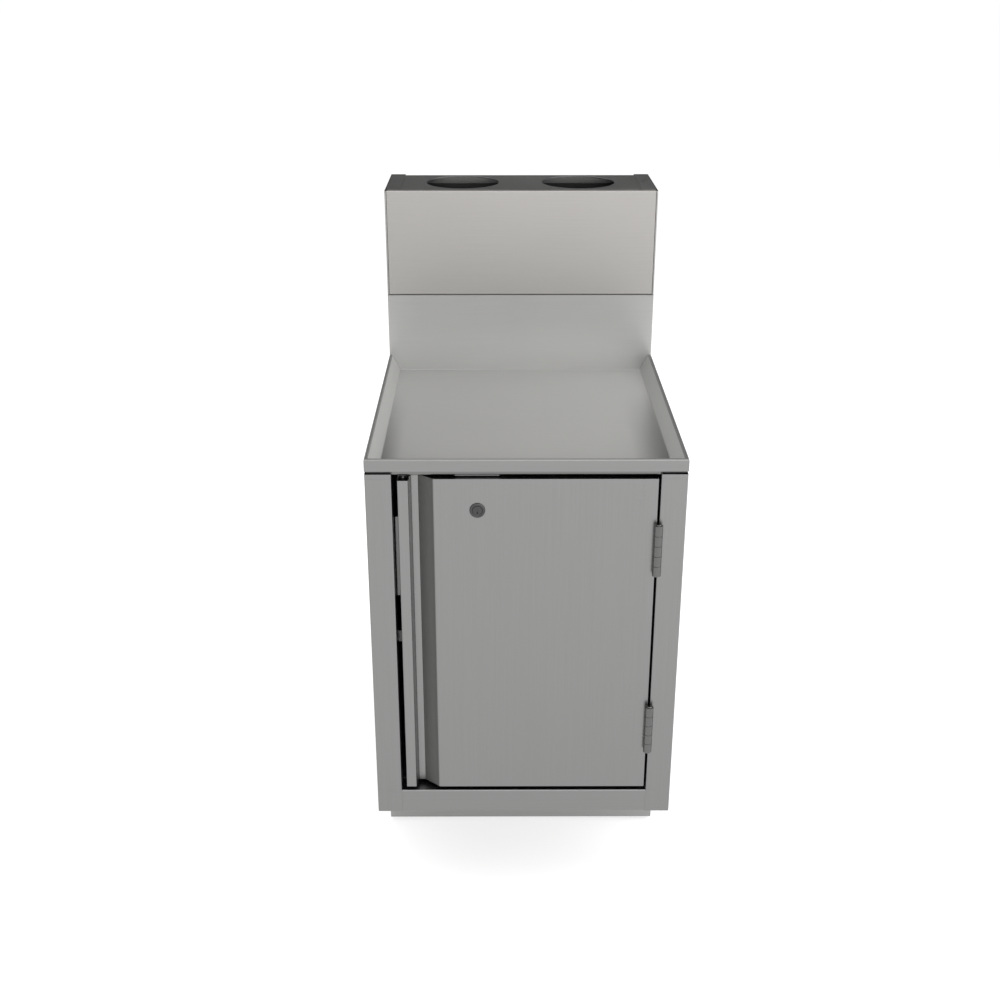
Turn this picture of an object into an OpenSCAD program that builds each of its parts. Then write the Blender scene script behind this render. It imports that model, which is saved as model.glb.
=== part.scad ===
/* [Cabinet] */
// Width of the cabinet
unit_w = 457.2; // [420:1:620]
// Depth of the worktop, from the front face to the splash
worktop_depth = 504.8; // [460:1:620]
// Depth of the riser behind the worktop
riser_depth = 168.3; // [150:1:240]
// Height of the shell, from its bottom edge to the rim of the worktop
shell_h = 594.9; // [540:1:700]
// Height of the base and its feet, from the floor to the shell
base_h = 167; // [120:1:220]

/* [Sheet metal] */
// Thickness of the shell and door sheet
body_t = 1.2; // [0.8:0.1:1.5]
// Thickness of the worktop and riser sheet
top_t = 1.5; // [1:0.1:2]
// Thickness of the base sheet
base_t = 1.5; // [1:0.1:2.5]
// Inner radius of a bend
bend_r = 0.8; // [0.4:0.1:1.5]

/* [Front frame] */
// Width of the stile on each side of the opening
stile_w = 38.1; // [32:0.1:50]
// Depth of the stile's return beside the door
stile_return = 33.2; // [30:0.1:45]
// Height of the rail under the door
bottom_rail_h = 39.6; // [34:0.1:60]
// Depth of the bottom rail's lower return
rail_return = 21.2; // [15:0.1:30]
// Width of the flange along the rear and the bottom of each side
side_flange = 26; // [22:0.5:32]
// Dark line between the shell and the skirt of the worktop
reveal = 4.5; // [3:0.1:7]
// Setback of the rail over the door
top_rail_setback = 6; // [4:0.1:8]
// Height of the rail over the door
top_rail_h = 17; // [12:0.5:18]
// Depth of the rail's flange over the door
top_rail_flange = 18; // [12:0.5:18]

/* [Worktop] */
// Height of the skirt round the worktop
skirt_h = 18.4; // [16:0.1:24]
// Width of the flat on the rim
rim_flat = 4.5; // [4:0.1:8]
// Depth of the deck under the rim
deck_drop = 28; // [24:0.5:32]
// Run of the flanks beside the deck
side_flank_run = 14; // [10:0.5:20]
// Run of the flank in front of the deck
front_flank_run = 30; // [28:0.5:40]
// Height of the seam in the splash above the rim
seam_h = 106; // [90:1:140]
// Width of the seam
seam_gap = 1.2; // [0.8:0.1:2.5]
// Depth of the returns on both sides of the seam
seam_return = 15; // [10:0.5:20]
// Width of the channels under the deck and the floor
channel_w = 30; // [24:1:40]
// Height of the channels under the deck
deck_channel_h = 20; // [16:0.5:24]

/* [Riser] */
// Height of the riser above the rim
riser_h = 282.4; // [240:1:340]
// Width of the flanges at both ends of the riser's top
end_flange_w = 25.4; // [20:0.1:32]
// Width of the hemmed front edge of the end walls
end_edge_w = 3.1; // [3.1:0.1:4.5]
// Depth of the front panel's flange over the top plate
panel_flange = 12; // [8:0.5:16]
// Diameter of the two holes in the riser's top
hole_d = 124; // [90:0.5:130]
// Distance between the centres of the two holes
hole_pitch = 200; // [160:1:220]
// Distance of the hole centres behind the front of the riser
hole_back = 96.5; // [80:0.5:98]
// Height of the flanges that turn down from the top plate
plate_flange = 12; // [8:0.5:18]

/* [Door] */
// Gap on the handle side of the door
door_gap_left = 7.7; // [6:0.1:10]
// Gap between the hinge leaves
leaf_gap = 0.4; // [0.3:0.1:0.8]
// Gap under the door
door_gap_bottom = 6.9; // [4:0.1:10]
// Gap over the door
door_gap_top = 5.8; // [4:0.1:8]
// Thickness of the door
door_t = 24; // [22:0.5:25]
// Width of the strip at the door's free edge
strip_w = 15.5; // [12:0.5:20]
// How far the strip stops under the top of the door
strip_drop = 2.6; // [1.5:0.1:5]
// Depth of the pull recess
recess_d = 20; // [16:0.5:20]
// Lean of the recess's steep wall
wall_lean = 3.4; // [2:0.1:5]
// Width of the recess's floor
recess_floor_w = 9.7; // [8:0.1:14]
// Width of the recess's slanted wall
slant_w = 23.2; // [18:0.1:30]
// Width of the lips round the back of the door
door_lip = 12; // [10:0.5:12]
// Width of the stiffener inside the door
stiffener_w = 32; // [24:1:50]

/* [Lock] */
// Distance of the lock from the door's free edge
lock_in = 113.4; // [100:0.5:160]
// Distance of the lock under the door's top
lock_down = 47.8; // [44:0.1:60]
// Diameter of the lock's face
lock_face_d = 22.5; // [21:0.5:26]
// Thickness of the lock's face
lock_face_t = 2.2; // [1.5:0.1:3]
// Diameter of the lock's threaded body
lock_body_d = 19; // [18:0.1:20]
// Diameter of the turning plug
plug_d = 14; // [12:0.1:15]
// Running clearance round the plug
plug_clearance = 0.05; // [0.02:0.01:0.1]
// Length of the cam from the plug's axis
cam_l = 42; // [38:0.5:42]
// Width of the cam
cam_w = 14; // [10:0.5:16]
// Thickness of the cam
cam_t = 2; // [1.5:0.1:3]
// Gap between the cam and the strike's leg
cam_gap = 1.2; // [0.5:0.1:2]

/* [Strike and catch] */
// Width of the lock's strike
strike_w = 63; // [50:1:80]
// Gap between the strike and the top of the door
strike_gap = 1; // [0.6:0.1:1.5]
// Gap between the strike's leg and the back of the door
strike_back_gap = 2; // [1:0.1:3]
// Length of the strike's leg under the top of the door
strike_leg = 20; // [16:0.5:24]
// Height of the catch bracket
catch_h = 127; // [100:1:150]
// Distance of the catch bracket's middle under the door's top
catch_down = 132.7; // [120:0.1:190]
// Gap between the catch bracket and the back of the door
catch_gap = 1.6; // [1.3:0.1:2.5]
// Reach of the catch bracket behind the door
catch_reach = 32; // [28:0.5:40]
// Height of the magnetic catch
magnet_h = 46; // [36:1:60]
// Width of the magnetic catch
magnet_w = 14; // [10:0.5:16]
// Depth of the magnetic catch behind its bracket
magnet_d = 12; // [8:0.5:16]
// Thickness of the steel plate that the magnet pulls
keeper_t = 1; // [0.8:0.1:1.1]
// Diameter of the bumpers
bumper_d = 10; // [6:0.5:12]

/* [Hinges] */
// Diameter of the hinge barrel
barrel_d = 12.7; // [10:0.1:12.7]
// Height of each hinge
hinge_h = 80; // [60:1:100]
// Distance of a hinge's middle from the end of the door
hinge_in = 108.6; // [80:0.5:140]
// Distance of the hinge axis in front of the door
axis_proud = 6.6; // [6.6:0.1:8]
// Thickness of a hinge leaf
leaf_t = 1.2; // [1:0.1:1.5]
// Depth of a hinge leaf beside the door
leaf_d = 21; // [16:0.5:22]
// Number of knuckles of a hinge
knuckles = 5; // [3:2:7]
// Gap between knuckles
knuckle_gap = 0.3; // [0.2:0.05:0.6]
// Diameter of the hinge pin
pin_d = 5; // [4:0.1:6]
// Running clearance round the hinge pin
pin_clearance = 0.05; // [0.02:0.01:0.1]
// Thickness of the pin's heads
pin_head_t = 1.2; // [0.8:0.1:2]

/* [Base] */
// Setback of the kick panel from the front face
kick_setback = 200; // [120:1:240]
// Width of the flanges of the base panels
base_flange = 26; // [22:0.5:32]
// Gap between the floor and the base panels
foot_gap = 6.4; // [6:0.1:20]
// Distance of the feet from the outside of the base
foot_inset = 45; // [40:1:60]
// Diameter of a foot's pad
foot_pad_d = 38; // [30:1:45]
// Thickness of a foot's pad
foot_pad_t = 5; // [4:0.1:5.5]
// Diameter of a foot's stud
stud_d = 10; // [8:0.5:12]
// Length of a foot's stud
stud_l = 50; // [40:1:60]
// Running clearance round a foot's stud
stud_clearance = 0.05; // [0.02:0.01:0.1]
// Thickness of the plates that hold the feet
foot_plate_t = 3; // [2:0.1:4]
// Height of the lock nuts
nut_h = 6; // [5:0.5:8]

/* [Inside] */
// Distance of the back panel in front of the splash
back_in = 16; // [12:0.5:30]
// Width of the flanges of the back panel
back_flange = 15; // [10:0.5:20]
// Height of the rear rails
rear_rail_h = 40; // [30:1:60]
// Height of the space between the shelf and the deck
shelf_down = 275; // [220:1:340]
// Distance of the shelf behind the stile returns
shelf_in = 27; // [20:1:60]
// Gap round the shelf
shelf_gap = 3; // [2:0.1:3.5]
// Height of the shelf's front and rear lips
shelf_lip = 20; // [14:0.5:30]
// Length of a shelf clip
clip_l = 24; // [16:1:36]
// Thickness of a shelf clip
clip_t = 2; // [1.5:0.1:3]

/* [Fasteners] */
// Diameter of the bolts between shell and base
bolt_d = 6; // [5:0.1:6]
// Length of the bolts between shell and base
bolt_l = 14; // [12:0.5:20]
// Clearance round a bolt, on the radius
bolt_clearance = 0.25; // [0.1:0.05:0.4]
// Diameter of the screws in the back of the door
screw_d = 4; // [3:0.1:4]
// Length of the screws in the back of the door
screw_l = 6; // [5:0.5:8]
// Clearance round a screw, on the radius
screw_clearance = 0.1; // [0.05:0.05:0.2]
// Gap between pieces that are set side by side
fit_gap = 0.2; // [0.1:0.05:0.4]

/* [Hidden] */
$fn = 64;

// Steps in each bend of a sheet
bend_steps = 4;
// Extra length of a cut past the face that it opens
cut = 1;

// Heights above the floor
rim_z = base_h + shell_h;
skirt_z = rim_z - skirt_h;
side_top_z = skirt_z - reveal;
deck_z = rim_z - deck_drop;
deck_under_z = deck_z - top_t;
opening_z0 = base_h + bottom_rail_h;
opening_z1 = side_top_z - 1;
door_z0 = opening_z0 + door_gap_bottom;
door_z1 = opening_z1 - door_gap_top;
seam_z = rim_z + seam_h;
splash_top_z = seam_z - seam_gap / 2;
panel_z = seam_z + seam_gap / 2;
riser_z = rim_z + riser_h;
plate_z = riser_z - 2 * top_t;

// Depths behind the front face
flank_under = top_t * sqrt(1 + (deck_drop / front_flank_run) ^ 2);
flank_clear_y = rim_flat + (rim_z - side_top_z - flank_under) * front_flank_run / deck_drop - cut;
splash_back_y = worktop_depth + top_t;
total_d = worktop_depth + riser_depth;
back_y = worktop_depth - back_in;
rear_rail_y = total_d - top_t - body_t;

// The hinge axis stands in front of the door, and the barrel is the foremost piece
barrel_r = barrel_d / 2;
proud = axis_proud + barrel_r;
front_y = (proud - total_d) / 2;

// Edges of the door
opening_x0 = stile_w;
opening_x1 = unit_w - stile_w;
door_x0 = opening_x0 + door_gap_left;
door_x1 = opening_x1 - 2 * leaf_t - leaf_gap;
axis_x = opening_x1 - leaf_t - leaf_gap / 2;
door_h = door_z1 - door_z0;
door_back_y = door_t;
lip_y = door_t - body_t;

// Pull recess, from the free edge of the door
wall_x0 = door_x0 + strip_w;
wall_x1 = wall_x0 + wall_lean;
slant_x0 = wall_x1 + recess_floor_w;
slant_x1 = slant_x0 + slant_w;
slant_per_y = slant_w / recess_d;
seat_x = slant_x1 - slant_per_y * body_t;
pull_lap = 18;

// Lock
lock_x = door_x0 + lock_in;
lock_z = door_z1 - lock_down;
lock_nut_t = 2.5;
strike_leg_y = door_t + strike_back_gap;
cam_y = strike_leg_y + body_t + cam_gap;
tail_w = 8;
tail_l = cam_t - 0.1;
cam_screw_d = 4;
cam_screw_l = 10;
cam_screw_head_d = 10;
cam_screw_head_t = 2.4;

// Catch and shelf
catch_z = door_z1 - catch_down;
shelf_top_z = deck_under_z - shelf_down;

// Positions of repeated pieces
hinge_z = [door_z0 + hinge_in, door_z1 - hinge_in];
deck_channel_y = [0.25, 0.53, 0.81] * worktop_depth;
foot_x = [foot_inset, unit_w - foot_inset];
foot_y = [kick_setback + foot_inset, total_d - foot_inset];
bolt_x = side_flange / 2;
bolt_y = [kick_setback + 2 * foot_inset, total_d - 2 * foot_inset];
hole_x = [unit_w / 2 - hole_pitch / 2, unit_w / 2 + hole_pitch / 2];

// Unit vector from a to b
function way(a, b) = (b - a) / norm(b - a);
// Vector turned a quarter turn to the left
function left(v) = [-v[1], v[0]];
// Vector turned by an angle
function turned(v, a) = [v[0] * cos(a) - v[1] * sin(a), v[0] * sin(a) + v[1] * cos(a)];
// Points of the bend at corner b, on the path itself or on the sheet's other face at the distance off
function bend(a, b, c, off, t, r) =
    let (u = way(a, b), v = way(b, c), s = sign(cross(u, v)), angle = acos(u * v))
    let (path_r = s > 0 ? r + t : r)
    let (centre = b - u * path_r * tan(angle / 2) + left(u) * s * path_r)
    [for (i = [0:bend_steps]) centre + turned(-s * left(u) * (path_r - s * off), s * angle * i / bend_steps)];
// One face of a bent sheet
function face(path, off, t, r) =
    let (n = len(path))
    concat(
        [path[0] + off * left(way(path[0], path[1]))],
        [for (i = [1:1:n - 2]) each bend(path[i - 1], path[i], path[i + 1], off, t, r)],
        [path[n - 1] + off * left(way(path[n - 2], path[n - 1]))]
    );
// Points in the opposite order
function reversed(points) = [for (i = [len(points) - 1:-1:0]) points[i]];

// Section of a bent sheet whose thickness lies to the left of its path
module sheet(path, t = body_t, r = bend_r) {
    polygon(concat(face(path, 0, t, r), reversed(face(path, t, t, r))));
}

// Children drawn in plan, raised from z0 to z1
module upright(z0, z1) {
    translate([0, 0, z0])
        linear_extrude(z1 - z0)
            children();
}

// Children drawn as a section of depth and height, drawn out from x0 to x1
module across(x0, x1) {
    translate([x0, 0, 0])
        rotate([90, 0, 90])
            linear_extrude(x1 - x0)
                children();
}

// Box from one corner to the other
module block(low, high) {
    translate(low)
        cube(high - low);
}

// The cabinet's own frame, with its left front edge at the origin, set over the middle of its footprint
module place() {
    translate([-unit_w / 2, front_y, 0])
        children();
}

// The same piece on the other side of the cabinet
module other_side() {
    translate([unit_w, 0, 0])
        mirror([1, 0, 0])
            children();
}

// Cylinder from the point p, along +Y
module along_y(p, d, l) {
    translate(p)
        rotate([-90, 0, 0])
            cylinder(d = d, h = l);
}

// Side wall with its stile, the return beside the door and its flanges
module side() {
    rear = [side_flange, total_d];
    corner = [0, total_d];
    difference() {
        union() {
            upright(base_h, opening_z0)
                sheet([rear, corner, [0, 0], [stile_w, 0]]);
            upright(opening_z0, side_top_z)
                sheet([rear, corner, [0, 0], [stile_w, 0], [stile_w, stile_return]]);
            block([body_t / 2, 2 * body_t, base_h], [side_flange, total_d - body_t / 2, base_h + body_t]);
        }
        // the return's upper corner clears the flank in front of the deck
        block(
            [stile_w - 2 * body_t, flank_clear_y, deck_under_z - fit_gap],
            [stile_w + cut, stile_return + cut, side_top_z + cut]
        );
        for (y = bolt_y)
            translate([bolt_x, y, base_h - cut])
                cylinder(r = bolt_d / 2 + bolt_clearance, h = body_t + 2 * cut);
    }
}

module side_left() {
    color("lightgrey")
        place()
            side();
}

module side_right() {
    color("lightgrey")
        place()
            other_side()
                side();
}

module bottom_rail() {
    color("lightgrey")
        place()
            across(opening_x0, opening_x1)
                sheet([
                    [stile_return, opening_z0], [0, opening_z0], [0, base_h], [rail_return, base_h]
                ]);
}

module top_rail() {
    y = top_rail_setback;
    color("lightgrey")
        place()
            across(opening_x0, opening_x1)
                sheet([[y, opening_z1 + top_rail_h], [y, opening_z1], [y + top_rail_flange, opening_z1]]);
}

// Back of the storage space, with a flange at each side and the top
module back_panel() {
    z0 = opening_z0;
    z1 = deck_under_z;
    color("silver")
        place() {
            upright(z0, z1)
                sheet([
                    [unit_w - body_t, back_y - back_flange], [unit_w - body_t, back_y],
                    [body_t, back_y], [body_t, back_y - back_flange]
                ]);
            block([2 * body_t, back_y - back_flange, z1 - body_t], [unit_w - 2 * body_t, back_y, z1]);
        }
}

// Floor of the storage space, with lips turned down on four sides
module cabinet_floor() {
    x0 = body_t;
    x1 = unit_w - body_t;
    y0 = stile_return + fit_gap;
    y1 = back_y + body_t;
    z0 = base_h + body_t;
    z1 = opening_z0;
    color("silver")
        place()
            difference() {
                block([x0, y0, z0], [x1, y1, z1]);
                block([x0 + body_t, y0 + body_t, z0 - cut], [x1 - body_t, y1 - body_t, z1 - body_t]);
                // the rear lip stops above the side flanges' level over the base
                block([x0 - cut, kick_setback, z0 - cut], [side_flange + cut, total_d, z0 + body_t]);
                block([unit_w - side_flange - cut, kick_setback, z0 - cut], [x1 + cut, total_d, z0 + body_t]);
            }
}

// Channel that opens upward, with its legs under what it carries
module channel(y, z0, z1, x0, x1) {
    across(x0, x1)
        sheet([[y, z1], [y, z0], [y + channel_w, z0], [y + channel_w, z1]]);
}

module floor_channel(y) {
    z0 = base_h + body_t;
    z1 = opening_z0 - body_t;
    color("silver")
        place()
            channel(y, z0, z1, 2 * body_t, unit_w - 2 * body_t);
}

module floor_channel_front() {
    floor_channel(kick_setback + base_t);
}

module floor_channel_rear() {
    floor_channel(back_y - 2 * channel_w);
}

// Rail across the open rear of the pipe space
module rear_rail(z0, z1, lip_z) {
    x0 = top_t + bend_r;
    color("silver")
        place() {
            block([x0, rear_rail_y, z0], [unit_w - x0, rear_rail_y + body_t, z1]);
            block([x0, rear_rail_y - side_flange, lip_z], [unit_w - x0, rear_rail_y, lip_z + body_t]);
        }
}

module rear_rail_top() {
    rear_rail(side_top_z - rear_rail_h, rim_z, side_top_z - body_t);
}

module rear_rail_bottom() {
    rear_rail(base_h + body_t, base_h + rear_rail_h, base_h + body_t);
}

// Hollow of the dished worktop, grown by the thickness of its sheet for the underside
module dish(grow) {
    depth = deck_drop + grow;
    side_slope = side_flank_run / deck_drop;
    front_slope = front_flank_run / deck_drop;
    side_x = rim_flat - grow * sqrt(1 + side_slope ^ 2);
    front_y0 = rim_flat - grow * sqrt(1 + front_slope ^ 2);
    rear_y = worktop_depth + grow;
    top = grow > 0 ? 0 : cut;
    translate([0, 0, rim_z])
        intersection() {
            translate([0, rear_y, 0])
                rotate([90, 0, 0])
                    linear_extrude(rear_y)
                        polygon([
                            [side_x, top], [side_x, 0], [side_x + side_slope * depth, -depth],
                            [unit_w - side_x - side_slope * depth, -depth], [unit_w - side_x, 0],
                            [unit_w - side_x, top]
                        ]);
            across(0, unit_w)
                polygon([
                    [front_y0, top], [front_y0, 0], [front_y0 + front_slope * depth, -depth],
                    [rear_y, -depth], [rear_y, top]
                ]);
        }
}

// Worktop: rim, skirts, dished deck and the splash behind it, folded from one sheet
module worktop() {
    color("lightgrey")
        place() {
            difference() {
                union() {
                    difference() {
                        block([0, 0, skirt_z], [unit_w, splash_back_y, rim_z]);
                        block([top_t, top_t, skirt_z - cut], [unit_w - top_t, worktop_depth, rim_z - top_t]);
                    }
                    dish(top_t);
                    block([0, worktop_depth, skirt_z], [unit_w, splash_back_y, splash_top_z]);
                }
                dish(0);
            }
            block(
                [end_edge_w + fit_gap, worktop_depth + top_t / 2, splash_top_z - top_t],
                [unit_w - end_edge_w - fit_gap, worktop_depth + seam_return, splash_top_z]
            );
        }
}

module deck_channel(i) {
    color("silver")
        place()
            channel(deck_channel_y[i], deck_under_z - deck_channel_h, deck_under_z, body_t, unit_w - body_t);
}

module deck_channel_front() {
    deck_channel(0);
}

module deck_channel_middle() {
    deck_channel(1);
}

module deck_channel_rear() {
    deck_channel(2);
}

// End wall of the riser: behind the splash below the seam, flush with the front panel above it
module riser_end() {
    rear = [end_flange_w, total_d];
    corner = [0, total_d];
    front = worktop_depth;
    hem_r = end_edge_w / 2 - top_t;
    upright(skirt_z, splash_top_z - top_t - fit_gap)
        sheet([rear, corner, [0, splash_back_y], [end_flange_w, splash_back_y]], top_t);
    upright(splash_top_z - top_t - fit_gap, panel_z)
        sheet([rear, corner, [0, splash_back_y + seam_return]], top_t);
    upright(panel_z, riser_z)
        sheet([
            rear, corner, [0, front], [end_edge_w, front], [end_edge_w, front + seam_return]
        ], top_t, max(hem_r, 0.02));
    block([top_t / 2, front + end_edge_w / 2, riser_z - top_t], [end_flange_w, total_d - top_t / 2, riser_z]);
}

module riser_end_left() {
    color("gainsboro")
        place()
            riser_end();
}

module riser_end_right() {
    color("gainsboro")
        place()
            other_side()
                riser_end();
}

// Front panel of the riser, above the seam, with a flange over the top plate and a return at the seam
module riser_front_panel() {
    y = worktop_depth;
    color("gainsboro")
        place() {
            across(end_edge_w + fit_gap, unit_w - end_edge_w - fit_gap)
                sheet([[y, riser_z], [y, panel_z], [y + seam_return, panel_z]], top_t);
            block(
                [end_flange_w + fit_gap, y + top_t / 2, riser_z - top_t],
                [unit_w - end_flange_w - fit_gap, y + panel_flange, riser_z]
            );
        }
}

// Top plate of the riser with its two round holes
module riser_top() {
    x0 = top_t;
    x1 = unit_w - top_t;
    y0 = splash_back_y;
    y1 = total_d - top_t;
    z = plate_z;
    hole_y = worktop_depth + hole_back;
    color("darkgrey")
        place()
            difference() {
                union() {
                    block([x0, y0, z], [x1, y1, z + top_t]);
                    for (y = [y0, y1 - 2 * top_t])
                        block(
                            [end_flange_w, y, z - plate_flange],
                            [unit_w - end_flange_w, y + top_t, z + top_t / 2]
                        );
                }
                for (x = hole_x)
                    translate([x, hole_y, z - cut])
                        cylinder(d = hole_d, h = top_t + 2 * cut);
                // the end walls' front hems pass the corners of the plate
                for (x = [x0 - cut, x1 - end_edge_w])
                    block(
                        [x, y0 - cut, z - cut],
                        [x + end_edge_w + cut, worktop_depth + seam_return + fit_gap, z + top_t + cut]
                    );
            }
}

module riser_back() {
    y1 = total_d - top_t;
    color("grey")
        place()
            block([top_t + bend_r, y1 - top_t, rim_z], [unit_w - top_t - bend_r, y1, plate_z]);
}

// Panel under the set back front of the shell
module kick_panel() {
    y = kick_setback;
    color("darkgrey")
        place()
            across(0, unit_w)
                sheet([
                    [y + base_flange, base_h], [y, base_h], [y, foot_gap], [y + base_flange, foot_gap]
                ], base_t);
}

// Side of the base, with a flange under the shell and one over the floor
module base_side() {
    y0 = kick_setback + base_flange + fit_gap;
    y1 = total_d - base_flange - fit_gap;
    front = kick_setback + base_t;
    rear = total_d - base_t;
    z0 = foot_gap;
    z1 = base_h;
    difference() {
        union() {
            block([0, front, z0], [base_t, rear, z1]);
            block([0, y0, z1 - base_t], [base_flange, y1, z1]);
            block([0, y0, z0], [base_flange, y1, z0 + base_t]);
        }
        // the corners clear the flanges of the panels in front and behind
        for (y = [front - cut, total_d - base_flange - fit_gap])
            for (z = [z0 - cut, z1 - base_t - bend_r])
                block([-cut, y, z], [base_t + cut, y + base_flange + cut - base_t + fit_gap, z + base_t + bend_r + cut]);
        for (y = bolt_y)
            translate([bolt_x, y, z1 - base_t - cut])
                cylinder(r = bolt_d / 2 + bolt_clearance, h = base_t + 2 * cut);
    }
}

module base_side_left() {
    color("darkgrey")
        place()
            base_side();
}

module base_side_right() {
    color("darkgrey")
        place()
            other_side()
                base_side();
}

module base_rear() {
    y = total_d;
    color("darkgrey")
        place()
            across(0, unit_w)
                sheet([
                    [y - base_flange, foot_gap], [y, foot_gap], [y, base_h], [y - base_flange, base_h]
                ], base_t);
}

// Plates in the corners of the base, which hold the feet
module foot_plates() {
    half = foot_inset - base_t - bend_r;
    z = foot_gap + base_t;
    color("grey")
        place()
            for (x = foot_x)
                for (y = foot_y)
                    difference() {
                        block([x - half, y - half, z], [x + half, y + half, z + foot_plate_t]);
                        translate([x, y, z - cut])
                            cylinder(r = stud_d / 2 + stud_clearance, h = foot_plate_t + 2 * cut);
                    }
}

// Levelling foot: a pad with a wrench flat and a stud
module foot(i, j) {
    collar = (foot_gap + base_t - foot_pad_t) - fit_gap;
    color("dimgrey")
        place()
            translate([foot_x[i], foot_y[j], 0]) {
                cylinder(d1 = foot_pad_d - 2, d2 = foot_pad_d, h = 1);
                translate([0, 0, 1])
                    cylinder(d = foot_pad_d, h = foot_pad_t - 1);
                translate([0, 0, foot_pad_t])
                    cylinder(d = 1.6 * stud_d, h = collar, $fn = 6);
                translate([0, 0, foot_pad_t])
                    cylinder(d = stud_d, h = stud_l);
            }
}

module foot_front_left() {
    foot(0, 0);
}

module foot_front_right() {
    foot(1, 0);
}

module foot_rear_left() {
    foot(0, 1);
}

module foot_rear_right() {
    foot(1, 1);
}

module foot_lock_nuts() {
    z = foot_gap + base_t + foot_plate_t;
    color("silver")
        place()
            for (x = foot_x)
                for (y = foot_y)
                    translate([x, y, z])
                        difference() {
                            cylinder(d = 1.9 * stud_d, h = nut_h, $fn = 6);
                            translate([0, 0, -cut])
                                cylinder(r = stud_d / 2 + stud_clearance, h = nut_h + 2 * cut);
                        }
}

// Places of the screws that hold the back plate on the lips of the door
function door_screw_points() =
    let (in = body_t + door_lip / 2, x1 = door_x1 - in)
    concat(
        [for (k = [0:2]) [x1, door_z0 + in + k * (door_h - 2 * in) / 2]],
        [for (k = [0:2]) [door_x0 + in, door_z0 + in + k * (door_h - 2 * in) / 2]],
        [for (z = [door_z0 + in, door_z1 - in]) [(slant_x1 + x1) / 2, z]]
    );

module door_screw_holes(y0, y1) {
    for (p = door_screw_points())
        along_y([p[0], y0, p[1]], screw_d + 2 * screw_clearance, y1 - y0);
}

// Opening for the lock through a sheet of the door
module lock_hole(y0, y1) {
    along_y([lock_x, y0, lock_z], lock_body_d + 2 * fit_gap, y1 - y0);
}

// Main face of the door with its edges and the lips round its back
module door_skin() {
    end_y = [body_t / 2, lip_y];
    slant_back = body_t * sqrt(1 + slant_per_y ^ 2) + fit_gap;
    color("lightgrey")
        place()
            difference() {
                union() {
                    upright(door_z0, door_z1) {
                        sheet([
                            [slant_x1, 0], [door_x1, 0], [door_x1, lip_y], [door_x1 - door_lip, lip_y]
                        ]);
                        polygon([[slant_x1, 0], [slant_x1 + body_t, body_t], [seat_x, body_t]]);
                    }
                    for (z = [door_z0, door_z1 - body_t])
                        upright(z, z + body_t)
                            polygon([
                                [slant_x1 + slant_back, end_y[0]], [door_x1 - body_t / 2, end_y[0]],
                                [door_x1 - body_t / 2, end_y[1]],
                                [slant_x0 + slant_back, end_y[1]], [slant_x0 + slant_back, recess_d]
                            ]);
                    for (z = [door_z0 + body_t / 2, door_z1 - door_lip])
                        block([slant_x1, lip_y - body_t, z], [door_x1 - body_t, lip_y, z + door_lip - body_t / 2]);
                }
                lock_hole(-cut, 2 * body_t);
                door_screw_holes(lip_y - body_t - cut, lip_y + cut);
            }
}

// Strip and pull recess at the free edge of the door, folded from one sheet
module door_pull() {
    flange_x = seat_x + pull_lap;
    color("lightgrey")
        place()
            difference() {
                upright(door_z0, door_z1)
                    sheet([
                        [door_x0 + door_lip, lip_y], [door_x0, lip_y], [door_x0, 0], [wall_x0, 0],
                        [wall_x1, recess_d], [slant_x0, recess_d], [seat_x, body_t], [flange_x, body_t]
                    ]);
                // the strip stops short of the door's top
                block([door_x0 - cut, -cut, door_z1 - strip_drop], [wall_x1 - wall_lean / 2, recess_d / 2, door_z1 + cut]);
                // the flange behind the face stops short of the folded ends
                for (z = [door_z0 - cut, door_z1 - body_t - fit_gap])
                    block([seat_x - body_t, body_t - cut, z], [flange_x + cut, 4 * body_t, z + body_t + fit_gap + cut]);
                door_screw_holes(lip_y - body_t - cut, lip_y + cut);
            }
}

module door_back_plate() {
    color("silver")
        place()
            difference() {
                block([door_x0, lip_y, door_z0], [door_x1, door_back_y, door_z1]);
                lock_hole(lip_y - cut, door_back_y + cut);
                door_screw_holes(lip_y - cut, door_back_y + cut);
            }
}

// Channel between the face and the back plate
module door_stiffener() {
    x = (lock_x + door_x1) / 2 - stiffener_w / 2;
    leg = lip_y;
    color("silver")
        place()
            upright(door_z0 + 2 * door_lip, door_z1 - 2 * door_lip)
                sheet([
                    [x, leg], [x, body_t], [x + stiffener_w, body_t], [x + stiffener_w, leg]
                ]);
}

module door_screws() {
    head_t = 1;
    color("silver")
        place()
            for (p = door_screw_points()) {
                along_y([p[0], door_back_y, p[1]], 1.8 * screw_d, head_t);
                along_y([p[0], door_back_y - screw_l, p[1]], screw_d, screw_l + head_t / 2);
            }
}

// Lock body: a face with a stepped ring, and the threaded body through the door
module lock_body() {
    end_y = door_back_y + lock_nut_t + 0.5;
    color("dimgrey")
        place()
            difference() {
                union() {
                    along_y([lock_x, -lock_face_t, lock_z], lock_face_d, lock_face_t);
                    along_y([lock_x, -lock_face_t / 2, lock_z], lock_body_d, end_y + lock_face_t / 2);
                }
                along_y([lock_x, -lock_face_t - cut, lock_z], plug_d + 2 * plug_clearance, end_y + lock_face_t + 2 * cut);
            }
}

module lock_nut() {
    color("silver")
        place()
            difference() {
                translate([lock_x, door_back_y, lock_z])
                    rotate([-90, 0, 0])
                        cylinder(d = 1.5 * lock_body_d, h = lock_nut_t, $fn = 6);
                along_y([lock_x, door_back_y - cut, lock_z], lock_body_d + 2 * fit_gap, lock_nut_t + 2 * cut);
            }
}

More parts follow.
